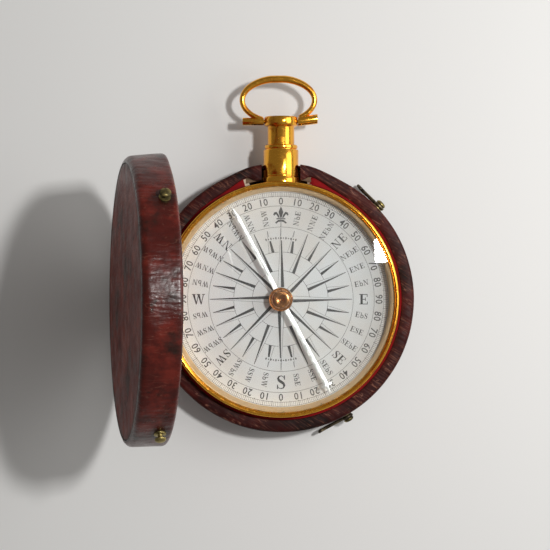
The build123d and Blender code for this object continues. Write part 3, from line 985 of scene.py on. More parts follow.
# ---------------------------------------------------------------- the leather case
@dataclass
class CaseHalf:
    """One half of the case, drawn as a tray: its outer face at height 0 and its rim up."""

    label: str
    body: Body
    height: float
    board: float
    axis_height: float
    pin_height: float
    leather: bpy.types.Material
    face_leather: bpy.types.Material
    finishes: Finishes
    place: Matrix
    edge_round: float = 0.9
    rim_round: float = 0.75
    outer: float = 28.4
    board_outer: float = 27.9
    board_inner: float = 25.75
    lining_inner: float = 25.25
    skin: float = 0.5
    pad: float = 0.6
    lining_drop: float = 0.25
    notch: float = 4.15
    steps: int = 288
    bulge: float = 0.75
    lining_swell: float = 1.15
    pin_angles: tuple[float, float] = (43.5, -60.5)
    lining_ends: tuple[float, float] = (-6.9, 5.7)

    def swell(self, point: Vector) -> float:
        """How far the wall is sprung at this point, 1 beside the pendant's notch.

        Args:
            point: a point of the tray.

        Returns:
            The share, 0 to 1.
        """
        if point.y < 0:
            return 0.0
        off = math.degrees(math.atan2(point.x, point.y))
        past = abs(off) - (15.5 if off < 0 else 13.5)
        return math.exp(-((past / (2.2 if past < 0 else 8.0)) ** 2))

    def spread(self, point: Vector) -> float:
        """How far the wall's outside stands out at this point, 1 beside the pendant's notch.

        Args:
            point: a point of the tray.

        Returns:
            The share, 0 to 1.
        """
        off = abs(math.degrees(math.atan2(point.x, point.y)))
        return math.exp(-((max(off - 10.0, 0.0) / 10.0) ** 2))

    def mark_seam_shade_and_stain(self, shape: bmesh.types.BMesh, seam: float) -> None:
        """Marks painted shade along the seam of the face, and the dark stain round the pins.

        Args:
            shape: the mesh, still as a tray.
            seam: radius of the seam.
        """
        layer = shape.verts.layers.float.new("seam_shade_and_stain")
        angles = [math.radians(a) for a in self.pin_angles]
        pins = [Vector((self.outer * math.cos(a), self.outer * math.sin(a), self.pin_height)) for a in angles]
        for vert in shape.verts:
            # painted shade in the crease of the seam; the spot round each pin is a real stain
            crease = math.exp(-(((vert.co.xy.length - seam) / 0.30) ** 2)) if vert.co.z < self.skin else 0.0
            spot = max(math.exp(-(((vert.co - pin).length / 2.3) ** 4)) for pin in pins)
            vert[layer] = min(1.0, crease + 0.9 * spot)

    def notch_tool(self) -> bmesh.types.BMesh:
        """The way through the wall for the pendant.

        Returns:
            A closed mesh to cut with.
        """
        reach = 2 * self.outer
        middle = reach / 2 + 10
        tool = bmesh.new()
        bmesh.ops.create_cone(
            tool, cap_ends=True, segments=64, radius1=self.notch, radius2=self.notch, depth=reach,
            matrix=Matrix.Translation((0, middle, self.axis_height)) @ Matrix.Rotation(math.pi / 2, 4, "X"),
        )
        upper = bmesh.new()
        bmesh.ops.create_cube(upper, size=1.0)
        bmesh.ops.scale(upper, vec=(2 * self.notch, reach, self.height), verts=upper.verts[:])
        centre = (0, middle, self.axis_height + self.height / 2)
        bmesh.ops.translate(upper, vec=centre, verts=upper.verts[:])
        return combined(tool, upper, "UNION")

    def hand_made(self, shape: bmesh.types.BMesh, depth: float = 0.06) -> None:
        """Gives the leather slight hollows and springs the wall beside the notch.

        Args:
            shape: the mesh.
            depth: the hollows' depth.
        """
        for vert in shape.verts:
            flat = Vector((vert.co.x, vert.co.y, 0))
            radius = flat.length
            if radius < 1:
                continue
            out = flat / radius
            seed = Vector((vert.co.x, vert.co.y, vert.co.z * 1.6)) * 0.16
            hollow = depth * min(noise.noise(seed + Vector((7.0 * self.height, 0, 0))), 0.15)
            share = vert.co.z / self.height
            if radius > self.board_inner + 0.55:
                vert.co += out * (hollow + self.spread(vert.co) * share * self.bulge)
            elif radius > self.board_inner - 0.2 and vert.co.z > self.height - 0.6:
                vert.co += out * self.swell(vert.co) * share * self.lining_swell

    def side(self) -> None:
        """The leather round the wall, turned over the rim and the outer edge."""
        top, inner, turn = self.height, self.board_inner, self.edge_round
        rows = 6
        low, high = turn * 1.4, top - self.rim_round * 1.4
        middle = [(self.outer, low + (high - low) * i / rows) for i in range(rows + 1)]
        outline = [(self.outer - self.edge_round, 0.0), (self.outer, 0.0), *middle, (self.outer, top)]
        outline += [(inner + 1.2, top), (inner, top), (inner, top - self.skin)]
        outline += [(self.board_outer - 0.2, top - self.skin), (self.board_outer, self.skin)]
        outline += [(self.outer - self.edge_round, self.skin)]
        shape = lathe(outline, self.steps)
        outside = self.outer - 0.1
        soften(shape, turn, 5, 60, lambda p: p.z < 0.01 and p.xy.length > outside)
        soften(shape, self.rim_round, 5, 60, lambda p: p.z > top - 0.01 and p.xy.length > outside)
        soften(shape, 0.18, 2, 60, lambda p: p.z > top - 0.01 and p.xy.length < inner + 0.1)
        self.hand_made(shape)
        edge_attribute(shape)
        self.mark_seam_shade_and_stain(shape, self.outer - self.edge_round)
        shape = combined(shape, self.notch_tool(), "DIFFERENCE")
        tidy(shape)
        Piece(
            f"{self.label}_side_morocco", shape, [self.leather], self.body, Slot.LEATHER,
            (f"{self.label}_side_leather",), self.place,
        ).add()

    def face(self) -> None:
        """The round of leather on the outer face, let in inside the turned-over edge."""
        edge = self.outer - self.edge_round - 0.06
        outline = [(0, 0.02), (edge * 0.35, 0.0), (edge * 0.7, 0.0), (edge, 0.0)]
        outline += [(edge, self.skin), (0, self.skin)]
        shape = lathe(outline, 192, closed=False)
        soften(shape, 0.22, 3, 60, lambda p: p.z < 0.01 and p.xy.length > edge - 0.1)
        rings = [e for e in shape.edges if e.calc_length() > 3]
        bmesh.ops.subdivide_edges(shape, edges=rings, cuts=5, use_grid_fill=True)
        for vert in shape.verts:
            if vert.co.z < 0.1:
                dent = 0.5 + 0.5 * noise.noise(vert.co * 0.13 + Vector((self.height, 3, 0)))
                vert.co.z += 0.05 * dent
        edge_attribute(shape)
        self.mark_seam_shade_and_stain(shape, edge)
        tidy(shape)
        Piece(
            f"{self.label}_face_morocco", shape, [self.face_leather], self.body, Slot.LEATHER,
            (f"{self.label}_face_leather",), self.place,
        ).add()

    def lining(self) -> None:
        """The lined card inside the wall, with its pale cut ends at the notch."""
        top, low = self.height - self.lining_drop, self.skin + self.board
        inner, outer = self.lining_inner, self.board_inner
        left, right = (math.atan2(inner, x) for x in self.lining_ends)
        outline = [(outer, low), (outer, top), (inner, top), (inner, low)]
        shape = lathe(outline, 300, start=left, angle=TURN - (left - right))
        soften(shape, 0.12, 2, 60, lambda p: p.z > top - 0.01)
        rows = [e for e in shape.edges if abs(e.verts[0].co.z - e.verts[1].co.z) > 2]
        bmesh.ops.subdivide_edges(shape, edges=rows, cuts=4, use_grid_fill=True)
        for vert in shape.verts:
            radius = vert.co.xy.length
            out = Vector((vert.co.x, vert.co.y, 0)) / radius
            if radius > (inner + outer) / 2:
                vert.co += out * self.swell(vert.co) * self.lining_swell * (vert.co.z / self.height)
            ripple = noise.noise(Vector((vert.co.x, vert.co.y, vert.co.z)) * 0.35)
            vert.co += out * ripple * 0.03
        for face in shape.faces:
            middle = face.calc_center_median()
            near = min(abs(middle.x - x) for x in self.lining_ends)
            face.material_index = 1 if near < 0.75 and middle.y > 0 else 0
        for vert in shape.verts:
            near = min(abs(vert.co.x - x) for x in self.lining_ends)
            if vert.co.y > 0 and near < 0.9 and vert.co.z > low + 1:
                vert.co.z -= (0.9 - near) * 0.9
        tidy(shape)
        Piece(
            f"{self.label}_lined_card", shape, [self.finishes.velvet, self.finishes.card_edge], self.body,
            Slot.LINING, (f"{self.label}_lining",), self.place,
        ).add()

    def cushion(self) -> bpy.types.Object:
        """The thin stuffed round on the inside, crowned and slightly puckered at its edge.

        Returns:
            The object.
        """
        low = self.skin + self.board
        edge = self.lining_inner - 0.06
        outline = [(0, low), (edge, low), (edge, low + self.pad * 0.45), (0, low + self.pad)]
        shape = lathe(outline, 192, closed=False)
        soften(shape, 0.12, 3, 60, lambda p: p.z > low + 0.1)
        spokes = [e for e in shape.edges if e.calc_length() > 3]
        bmesh.ops.subdivide_edges(shape, edges=spokes, cuts=11, use_grid_fill=True)
        for vert in shape.verts:
            radius = vert.co.xy.length
            if vert.co.z <= low + 0.02:
                continue
            share = min(radius / edge, 1.0)
            crown = self.pad * (0.42 + 0.56 * (1 - share**4))
            angle = math.atan2(vert.co.y, vert.co.x)
            pucker = 0.05 * share**5 * math.sin(46 * angle + 3 * noise.noise(vert.co * 0.2))
            vert.co.z = min(vert.co.z, low + crown) + pucker + 0.03 * noise.noise(vert.co * 0.3)
            vert.co.z = min(vert.co.z, low + self.pad)
        tidy(shape)
        piece = Piece(
            f"{self.label}_cushion", shape, [self.finishes.velvet], self.body, Slot.LINING,
            (f"{self.label}_pad",), self.place,
        ).add()
        return piece

    def pins(self) -> None:
        """The two brass pins or studs in the wall."""
        for name, angle in zip(("upper", "lower"), self.pin_angles):
            node = f"{self.label}_stud_{name}"
            out = Vector((math.cos(math.radians(angle)), math.sin(math.radians(angle)), 0))
            shape = pin_shape(self.outer)
            turned_to(shape, out, Vector((0, 0, self.pin_height)))
            Piece(
                f"{self.label}_pin_{name}", shape, [self.finishes.tarnished], self.body, Slot.TARNISHED,
                (node,), self.place,
            ).add()

    def dress_boards(self) -> None:
        """Gives the wooden core its finish."""
        for part in ("wall_board", "flat_board"):
            dress(f"{self.label}_{part}", self.finishes.wood)

    def build(self) -> None:
        """Makes every piece of this half."""
        self.side()
        self.face()
        self.lining()
        self.cushion()
        self.pins()
        self.dress_boards()


def pin_shape(wall: float) -> bmesh.types.BMesh:
    """A wall pin along +Z: shank, washer and round head.

    Args:
        wall: distance from the case's axis to the leather.

    Returns:
        The mesh.
    """
    shank, washer, head = 0.45, 1.15, 1.1
    outline = [
        (0, wall - 1.6), (shank, wall - 1.6), (shank, wall), (washer, wall), (washer, wall + 0.25),
        (shank, wall + 0.25), (shank, wall + 1.1), (head, wall + 1.1), (head, wall + 1.3), (0.9, wall + 1.58),
        (0.5, wall + 1.72), (0, wall + 1.75),
    ]
    shape = lathe(outline, 40, closed=False)
    soften(shape, 0.07, 2, 35, lambda p: p.z > wall + 0.05)
    tidy(shape)
    return shape


def dress(node: str, material: bpy.types.Material) -> None:
    """Gives a CAD node a finish.

    Args:
        node: the node's name.
        material: its finish.
    """
    obj = frame["nodes"][node]
    if not obj.data.materials:
        obj.data.materials.append(material)
    for index in range(len(obj.data.materials)):
        obj.data.materials[index] = material
    LOG.info("%s: dressed in %s", node, material.name)


@dataclass
class HingeStrap:
    """The leather hinge, one strip over both halves."""

    finishes: Finishes
    hinge: Vector
    opening: float
    width: float = 15.0
    thick: float = 0.6
    wall: float = 28.4
    length: float = 6.0
    bend: float = 0.55
    flat_rows: int = 6
    turn_rows: int = 9
    columns: int = 12

    @staticmethod
    def stepped(shape: bmesh.types.BMesh, verts: Sequence[bmesh.types.BMVert]) -> list[bmesh.types.BMVert]:
        """Extrudes the open end of the strip's section.

        Args:
            shape: the mesh.
            verts: the two corners at its end.

        Returns:
            The two new corners, which lie on the old ones.
        """
        end = next(e for e in verts[0].link_edges if set(e.verts) == set(verts))
        grown = bmesh.ops.extrude_edge_only(shape, edges=[end])
        return [v for v in grown["geom"] if isinstance(v, bmesh.types.BMVert)]

    def section(self, shape: bmesh.types.BMesh, rim: float) -> None:
        """The strip's section: up the base's wall, round the hinge and along the lid's wall.

        Args:
            shape: the mesh to add to.
            rim: height where the bend is centred.
        """
        verts = [shape.verts.new((-x, 0, rim - self.length)) for x in (self.wall, self.wall + self.thick)]
        shape.edges.new(verts)
        rise = (self.length - self.bend) / self.flat_rows
        for _ in range(self.flat_rows):
            verts = self.stepped(shape, verts)
            bmesh.ops.translate(shape, verts=verts, vec=(0, 0, rise))
        direction = math.radians(self.opening)
        swing = 2 * self.bend / max(direction, 0.1)
        pivot = Vector((-self.wall - self.thick / 2 - swing, 0, rim - self.bend))
        turn = Matrix.Rotation(-direction / self.turn_rows, 3, "Y")
        for _ in range(self.turn_rows):
            verts = self.stepped(shape, verts)
            bmesh.ops.rotate(shape, verts=verts, cent=pivot, matrix=turn)
        ahead = Vector((-math.sin(direction), 0, math.cos(direction)))
        for _ in range(self.flat_rows):
            verts = self.stepped(shape, verts)
            bmesh.ops.translate(shape, verts=verts, vec=ahead * rise)
        bmesh.ops.recalc_face_normals(shape, faces=shape.faces[:])

    def is_inner(self, face: bmesh.types.BMFace) -> bool:
        """Whether this face is a cross wall left inside the strip.

        Args:
            face: a face of the strip.

        Returns:
            True for a cross wall that isn't an end of the strip.
        """
        across = [e for e in face.edges if abs(e.verts[0].co.y - e.verts[1].co.y) < MERGE]
        shared = all(len(e.link_faces) > 2 for e in across)
        at_end = abs(abs(face.calc_center_median().y) - self.width / 2) < 0.1
        return shared and abs(face.normal.y) > 0.9 and not at_end

    def build(self) -> None:
        """Makes the strip, bent round the hinge to the lid's opening."""
        shape = bmesh.new()
        rim = self.hinge.z - 0.05
        self.section(shape, rim)
        bmesh.ops.translate(shape, verts=shape.verts[:], vec=(0, -self.width / 2, 0))
        strip = shape.faces[:]
        for _ in range(self.columns):
            grown = bmesh.ops.extrude_face_region(shape, geom=strip)
            fresh = [v for v in grown["geom"] if isinstance(v, bmesh.types.BMVert)]
            strip = [f for f in grown["geom"] if isinstance(f, bmesh.types.BMFace)]
            bmesh.ops.translate(shape, verts=fresh, vec=(0, self.width / self.columns, 0))
        inside = [f for f in shape.faces if self.is_inner(f)]
        bmesh.ops.delete(shape, geom=inside, context="FACES_ONLY")
        for vert in shape.verts:
            vert.co.x += self.wall - math.sqrt(max(self.wall**2 - vert.co.y**2, 0))
        soften(shape, 0.15, 2, 60)
        edge_attribute(shape)
        tidy(shape)
        obj = Piece(
            "hinge_leather", shape, [self.finishes.lid], Body.BASE, Slot.LEATHER,
            ("base_hinge_strap", "lid_hinge_strap"), rides=False,
        ).add()
        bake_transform(obj)


# ---------------------------------------------------------------- hooks
@dataclass
class WireHook:
    """A bent wire hook on its pin."""

    name: str
    body: Body
    pin: Vector
    angle: float
    side: int
    fall: float
    finishes: Finishes
    eye: float = 0.905
    radius: float = 0.375
    reach: float = 6.2
    wrap: float = 165.0

    def build(self) -> None:
        """Makes the eye, the shank and the curled end from one length of wire."""
        eye_points, bend_points, shank_points = 20, 7, 5
        line = []
        for i in range(eye_points + 1):
            turn = TURN * 0.97 * (1 - i / eye_points)
            line.append((math.cos(turn) * self.eye, -math.sin(turn) * self.eye))
        for i in range(1, shank_points):
            share = i / shank_points
            bow = 0.12 * math.sin(math.pi * share)
            line.append((self.eye + bow, self.reach * share))
        for i in range(bend_points + 1):
            turn = math.radians(self.wrap) * i / bend_points
            line.append((math.cos(turn) * self.eye, self.reach + math.sin(turn) * self.eye))
        taper = len(line) - 5
        radii = [self.radius * (1 - 0.09 * max(0, i - taper)) for i in range(len(line))]
        shape = wire([Vector((0.0, self.side * across, up)) for across, up in line], radii)
        soften(shape, 0.12, 2, 60)
        lay = Matrix.Rotation(math.radians(-self.side * self.fall), 4, "X")
        place = Matrix.Translation(self.pin) @ Matrix.Rotation(math.radians(self.angle), 4, "Z") @ lay
        Piece(
            f"{self.name}_wire", shape, [self.finishes.wire], self.body, Slot.TARNISHED, (self.name,), place
        ).add()


# ---------------------------------------------------------------- compass body
@dataclass
class GlazedTop:
    """The bezel, the glass and the sloping ring under it."""

    finishes: Finishes
    steps: int = 256

    def build(self) -> None:
        """Makes the three turned pieces."""
        self.bezel()
        self.glass()
        self.slope()
        for node in ("case_bowl", "dial_support_ring", "dial_plate"):
            dress(node, self.finishes.gilt if node == "case_bowl" else self.finishes.plain)
        dress("dial_card", self.finishes.paper)

    def bezel(self) -> None:
        """The gilt ring, with a rolled crown and a fine bead inside."""
        low, high = node_box("bezel")
        outer, top, opening = high.x, high.z, high.x - 1.0
        skirt_in = outer - 0.37
        seat_z = low.z + 0.55
        outline = [
            (skirt_in, low.z), (outer, low.z), (outer, top - 0.42), (outer - 0.10, top - 0.16),
            (outer - 0.30, top - 0.03), (outer - 0.48, top), (outer - 0.66, top - 0.06),
            (outer - 0.76, top - 0.17), (outer - 0.84, top - 0.12), (outer - 0.93, top - 0.15),
            (opening, top - 0.24), (opening, top - 0.30), (opening + 0.33, top - 0.30),
            (opening + 0.33, seat_z), (skirt_in, seat_z),
        ]
        shape = lathe(outline, self.steps)
        Piece("bezel_ring", shape, [self.finishes.gilt], Body.COMPASS, Slot.GILT, ("bezel",), sharp=50).add()

    def glass(self) -> None:
        """The domed glass, an even shell."""
        high = node_box("glass")[1]
        rim, crown, thick = high.x, high.z, 1.1
        edge_top = crown - 2.03
        opening = rim - 0.3
        curve = (opening**2 + (crown - edge_top) ** 2) / (2 * (crown - edge_top))
        centre = crown - curve
        rows = 24

        def height(radius: float, depth: float) -> float:
            """Height of the glass at a radius, depth under its outer face.

            Args:
                radius: distance from the middle.
                depth: how far under the outer face.

            Returns:
                The height.
            """
            return centre + math.sqrt((curve - depth) ** 2 - radius**2)

        radii = [rim * i / rows for i in range(rows + 1)]
        outline = [(r, height(r, 0)) for r in radii] + [(r, height(r, thick)) for r in reversed(radii)]
        shape = lathe(outline, self.steps, closed=False)
        Piece(
            "watch_glass", shape, [self.finishes.glass], Body.COMPASS, Slot.GLASS, ("glass",), sharp=60
        ).add()

    def slope(self) -> None:
        """The brass ring that slopes up from the dial's edge."""
        low, high = node_box("dial_ring")
        foot, outer, top = high.x - 0.87, high.x, high.z
        outline = [
            (foot, low.z), (outer, low.z), (outer, top), (foot + 0.78, top), (foot + 0.70, top - 0.22),
            (foot + 0.55, top - 0.4), (foot + 0.32, low.z + 1.2), (foot + 0.12, low.z + 0.45),
        ]
        shape = lathe(outline, self.steps)
        soften(shape, 0.05, 2, 50)
        Piece(
            "slope_ring", shape, [self.finishes.ring], Body.COMPASS, Slot.GILT, ("dial_ring",), sharp=60
        ).add()


@dataclass
class DialPrint:
    """The engraved compass rose and degree scale, printed on the card."""

    finishes: Finishes
    face: float
    ink: float = 0.018
    thread: float = 0.075
    scale_inner: float = 21.95
    scale_outer: float = 22.85
    names_at: float = 17.6
    numbers_at: float = 20.92
    ornament_at: float = 13.05
    point_step: float = 11.25
    names: tuple[str, ...] = (
        "N", "NbE", "NNE", "NEbN", "NE", "NEbE", "ENE", "EbN",
        "E", "EbS", "ESE", "SEbE", "SE", "SEbS", "SSE", "SbE",
        "S", "SbW", "SSW", "SWbS", "SW", "SWbW", "WSW", "WbS",
        "W", "WbN", "WNW", "NWbW", "NW", "NWbN", "NNW", "NbW",
    )

    def placed(self, angle: float) -> Matrix:
        """A turn clockwise from north, degrees.

        Args:
            angle: the turn, clockwise from north in degrees.

        Returns:
            The matrix.
        """
        return Matrix.Rotation(-math.radians(angle), 4, "Z")

    def band(self, inner: float, outer: float, start: float = 0.0, end: float = 360.0) -> bmesh.types.BMesh:
        """A thin printed arc.

        Args:
            inner: inner radius.
            outer: outer radius.
            start: start, degrees clockwise from north.
            end: end, degrees clockwise from north.

        Returns:
            The mesh.
        """
        low, top = self.face - self.ink, self.face + self.ink
        outline = [(inner, low), (outer, low), (outer, top), (inner, top)]
        steps = max(4, int((end - start) * 0.7))
        return lathe(outline, steps, start=math.radians(90 - end), angle=math.radians(end - start))

    def polar(self, radius: float, angle: float) -> Point:
        """A point on the card, angle clockwise from north in degrees.

        Args:
            radius: distance from the middle.
            angle: clockwise from north, degrees.

        Returns:
            Its x and y.
        """
        return radius * math.sin(math.radians(angle)), radius * math.cos(math.radians(angle))

    def text(
        self, body: str, size: float, at: Point, turn: float, weight: float = 0.0, squeeze: float = 1.0
    ) -> bmesh.types.BMesh:
        """Numbers, flat on the card.

        Args:
            body: the characters.
            size: the font's size.
            at: its middle.
            turn: its turn anticlockwise, degrees.
            weight: how much each stroke is thickened.
            squeeze: its width against the font's own.

        Returns:
            The mesh.
        """
        font = bpy.data.curves.new("numbers", "FONT")
        font.body = body
        font.size = size
        font.align_x = "CENTER"
        font.align_y = "CENTER"
        font.extrude = self.ink
        font.offset = weight
        font.resolution_u = 2
        font.space_character = 1.08
        shape = as_bmesh(bpy.data.objects.new("numbers", font))
        xs = [v.co.x for v in shape.verts]
        ys = [v.co.y for v in shape.verts]
        middle = Vector(((min(xs) + max(xs)) / 2, (min(ys) + max(ys)) / 2, 0))
        place = Matrix.Translation((*at, self.face)) @ Matrix.Rotation(math.radians(turn), 4, "Z")
        place = place @ Matrix.Diagonal((squeeze, 1.0, 1.0, 1.0)) @ Matrix.Translation(-middle)
        bmesh.ops.transform(shape, matrix=place, verts=shape.verts[:])
        tidy(shape)
        return shape

    def rings(self) -> None:
        """The circles of the rose and the lines of the degree scale."""
        half = self.thread / 2
        shape = bmesh.new()
        parts = [self.band(r - half, r + half) for r in (15.4, 19.9, self.scale_inner, self.scale_outer)]
        for radius, per_point, gap in ((6.1, 45.0, 4.2), (10.06, 22.5, 2.6)):
            for i in range(int(360 / per_point)):
                middle = i * per_point
                parts.append(self.band(radius - half, radius + half, middle + gap, middle + per_point - gap))
        join(shape, parts)
        self.add("dial_circles", shape, self.finishes.fine_ink)

    def scale(self) -> None:
        """A line for every degree, longer at each five."""
        shape = bmesh.new()
        for degree in range(360):
            inner = self.scale_inner - (0.0 if degree % 5 else 0.2)
            half = self.thread * (0.75 if degree % 5 else 1.3) / 2
            tick = bmesh.new()
            corners = [(-half, inner), (half, inner), (half, self.scale_outer), (-half, self.scale_outer)]
            flat_shape(tick, corners, self.face - self.ink, 2 * self.ink)
            bmesh.ops.transform(tick, matrix=self.placed(degree), verts=tick.verts[:])
            join(shape, [tick])
        tidy(shape)
        self.add("degree_scale", shape, self.finishes.fine_ink)

    def points(self) -> None:
        """The 32 points: a black half, and a pale half drawn with a thin line."""
        black, thin = bmesh.new(), bmesh.new()
        low, thick = self.face - self.ink, 2 * self.ink
        gap_in, gap_out = self.ornament_at - 0.45, self.ornament_at + 0.5
        for index in range(len(self.names)):
            inner, outer, half = (2.55, 15.2, 0.70)
            if index % 4:
                inner, outer, half = (6.1, 15.0, 0.66) if index % 2 == 0 else (10.06, 14.8, 0.62)
            matrix = self.placed(index * self.point_step)
            dark = bmesh.new()
            if index % 16 in (0, 1, 15):
                stop = half * (outer - gap_in) / (outer - inner) + 0.05
                flat_shape(dark, [(0, inner), (half, inner), (stop, gap_in), (-0.03, gap_in)], low, thick)
                tip = [(-0.04, gap_out), (0.06, gap_out), (0.04, outer), (-0.02, outer)]
                flat_shape(dark, tip, low, thick)
            else:
                flat_shape(dark, [(0, inner), (half, inner), (0.05, outer), (-0.03, outer)], low, thick)
            bmesh.ops.transform(dark, matrix=matrix, verts=dark.verts[:])
            join(black, [dark])
            pale = bmesh.new()
            pen = self.thread * 0.8
            flat_shape(pale, [(-half, inner), (-half + pen, inner), (0, outer), (-pen, outer)], low, thick)
            flat_shape(pale, [(-half, inner), (0, inner), (0, inner + pen), (-half, inner + pen)], low, thick)
            bmesh.ops.transform(pale, matrix=matrix, verts=pale.verts[:])
            join(thin, [pale])
        tidy(black)
        tidy(thin)
        self.add("point_shading", black, self.finishes.ink)
        self.add("point_outlines", thin, self.finishes.fine_ink)

    def numbers(self) -> None:
        """The degrees, from 0 at north and south to 90 at east and west."""
        shape = bmesh.new()
        for degree in range(0, 360, 10):
            quarter = degree % 180
            value = quarter if quarter <= 90 else 180 - quarter
            at = self.polar(self.numbers_at, degree)
            join(shape, [self.text(str(value), 2.15, at, -degree, 0.022, 0.92)])
        self.add("degree_numbers", shape, self.finishes.fine_ink)

    def stroke(self, line: Sequence[Point], pens: Sequence[float]) -> list[Point]:
        """The outline of a curved pen stroke.

        Args:
            line: its middle line.
            pens: its width at each point.

        Returns:
            The outline.
        """
        left, right = [], []
        for i, (x, y) in enumerate(line):
            before, after = Vector(line[max(i - 1, 0)]), Vector(line[min(i + 1, len(line) - 1)])
            side = (after - before).orthogonal().normalized() * pens[i] / 2
            left.append((x + side.x, y + side.y))
            right.append((x - side.x, y - side.y))
        return left + right[::-1]

    def letter(self, letter: str) -> tuple[list[list[Point]], float]:
        """A serif letter of height 1.

        Args:
            letter: N, E, S, W or b.

        Returns:
            The outline of each stroke, and the letter's width.
        """
        def bar(x0: float, y0: float, x1: float, y1: float) -> list[Point]:
            """A rectangle.

            Args:
                x0: left.
                y0: foot.
                x1: right.
                y1: head.

            Returns:
                Its corners.
            """
            return [(x0, y0), (x1, y0), (x1, y1), (x0, y1)]

        if letter == "E":
            return [
                bar(0.12, 0.0, 0.34, 1.0), bar(0.0, 0.93, 0.80, 1.0), bar(0.0, 0.0, 0.82, 0.07),
                bar(0.34, 0.46, 0.62, 0.53), bar(0.73, 0.72, 0.80, 1.0), bar(0.75, 0.0, 0.82, 0.28),
                bar(0.57, 0.34, 0.63, 0.66),
            ], 0.82
        if letter == "W":
            return [
                [(0.06, 1.0), (0.27, 1.0), (0.47, 0.0), (0.38, 0.0)],
                [(0.38, 0.0), (0.46, 0.0), (0.68, 1.0), (0.61, 1.0)],
                [(0.54, 1.0), (0.75, 1.0), (0.95, 0.0), (0.86, 0.0)],
                [(0.86, 0.0), (0.94, 0.0), (1.16, 1.0), (1.09, 1.0)],
                bar(0.0, 0.93, 0.36, 1.0), bar(0.46, 0.93, 0.80, 1.0), bar(1.0, 0.93, 1.26, 1.0),
            ], 1.26
        if letter == "N":
            return [
                bar(0.14, 0.0, 0.21, 1.0), bar(0.78, 0.0, 0.85, 1.0),
                [(0.06, 1.0), (0.27, 1.0), (0.85, 0.0), (0.72, 0.0)],
                bar(0.0, 0.93, 0.27, 1.0), bar(0.64, 0.93, 1.0, 1.0), bar(0.0, 0.0, 0.35, 0.07),
            ], 1.0
        if letter == "b":
            turns = [math.radians(a) for a in range(-165, 166, 22)]
            bowl = [(0.36 + 0.22 * math.cos(a), 0.29 + 0.27 * math.sin(a)) for a in turns]
            pens = [0.05 + 0.11 * math.cos(a / 2) for a in turns]
            return [bar(0.08, 0.0, 0.20, 1.0), bar(0.0, 0.94, 0.20, 1.0), self.stroke(bowl, pens)], 0.62
        curve = [
            (0.55, 0.78), (0.48, 0.91), (0.33, 0.97), (0.17, 0.92), (0.10, 0.78), (0.16, 0.64), (0.32, 0.53),
            (0.48, 0.42), (0.56, 0.26), (0.49, 0.09), (0.32, 0.03), (0.14, 0.08), (0.06, 0.23),
        ]
        pens = [0.04, 0.05, 0.06, 0.10, 0.16, 0.19, 0.21, 0.19, 0.16, 0.10, 0.06, 0.05, 0.04]
        return [self.stroke(curve, pens), bar(0.53, 0.68, 0.60, 1.0), bar(0.02, 0.0, 0.09, 0.32)], 0.62

    def word(self, name: str, size: float, at: Point, turn: float, squeeze: float = 1.0) -> bmesh.types.BMesh:
        """A word in serif letters, flat on the card.

        Args:
            name: its letters.
            size: height of a capital.
            at: its middle.
            turn: its turn anticlockwise, degrees.
            squeeze: its width against the usual.

        Returns:
            The mesh.
        """
        shape = bmesh.new()
        pen = 0.0
        for character in name:
            strokes, wide = self.letter(character)
            for outline in strokes:
                flat_shape(shape, [(x + pen, y) for x, y in outline], -self.ink, 2 * self.ink)
            pen += wide + 0.15
        middle = Matrix.Translation((-(pen - 0.15) / 2, -0.5, 0))
        place = Matrix.Translation((*at, self.face)) @ Matrix.Rotation(math.radians(turn), 4, "Z")
        place = place @ Matrix.Diagonal((size * squeeze, size, 1.0, 1.0)) @ middle
        bmesh.ops.transform(shape, matrix=place, verts=shape.verts[:])
        tidy(shape)
        return shape

    def names_between(self) -> None:
        """The names of the points between the quarters, running outwards."""
        small, large = bmesh.new(), bmesh.new()
        for index, name in enumerate(self.names):
            if index % 8 == 0:
                continue
            angle = index * self.point_step
            at = self.polar(self.names_at - 0.1, angle)
            if index % 8 == 4:
                join(large, [self.word(name, 1.75, at, 90 - angle)])
            else:
                join(small, [self.word(name, 1.15, at, 90 - angle, 0.96)])
        self.add("point_names", small, self.finishes.fine_ink)
        self.add("quarter_names", large, self.finishes.ink)

    def capitals(self) -> None:
        """East, south and west, upright."""
        shape = bmesh.new()
        for letter, size, at in (
            ("E", 2.2, (self.names_at, 0.0)), ("S", 2.9, (0.0, -self.names_at - 0.1)),
            ("W", 2.2, (-self.names_at, 0.0)),
        ):
            join(shape, [self.word(letter, size, at, 0.0)])
        self.add("cardinal_letters", shape, self.finishes.ink)

    def lily(self) -> None:
        """The north mark: a middle petal, two curled side petals, a band and a foot."""
        shape = bmesh.new()
        low, thick = self.face - self.ink, 2 * self.ink
        middle = 17.7
        right = [(0.28, 1.5), (0.5, 0.9), (0.34, 0.3), (0.14, -0.35)]
        petal = [(0, 2.1), *right, *((-x, y) for x, y in reversed(right))]
        flat_shape(shape, [(x, middle + y) for x, y in petal], low, thick)
        side = [
            (0.24, -0.3), (0.5, 0.35), (0.95, 0.95), (1.45, 0.8), (1.65, 0.3), (1.4, 0.1), (1.25, 0.35),
            (1.0, 0.4), (0.75, 0.0), (0.55, -0.35),
        ]
        foot = [(0.08, -0.75), (0.6, -0.8), (1.25, -1.35), (1.0, -1.6), (0.55, -1.2), (0.08, -1.15)]
        for sign in (1, -1):
            for outline in (side, foot):
                turned = outline if sign > 0 else outline[::-1]
                flat_shape(shape, [(sign * x, middle + y) for x, y in turned], low, thick)
        band = [(-0.95, -0.66), (0.95, -0.66), (0.95, -0.42), (-0.95, -0.42)]
        stalk = [(-0.07, -2.3), (0.07, -2.3), (0.05, -0.7), (-0.05, -0.7)]
        for outline in (band, stalk):
            flat_shape(shape, [(x, middle + y) for x, y in outline], low, thick)
        tidy(shape)
        self.add("north_lily", shape, self.finishes.ink)

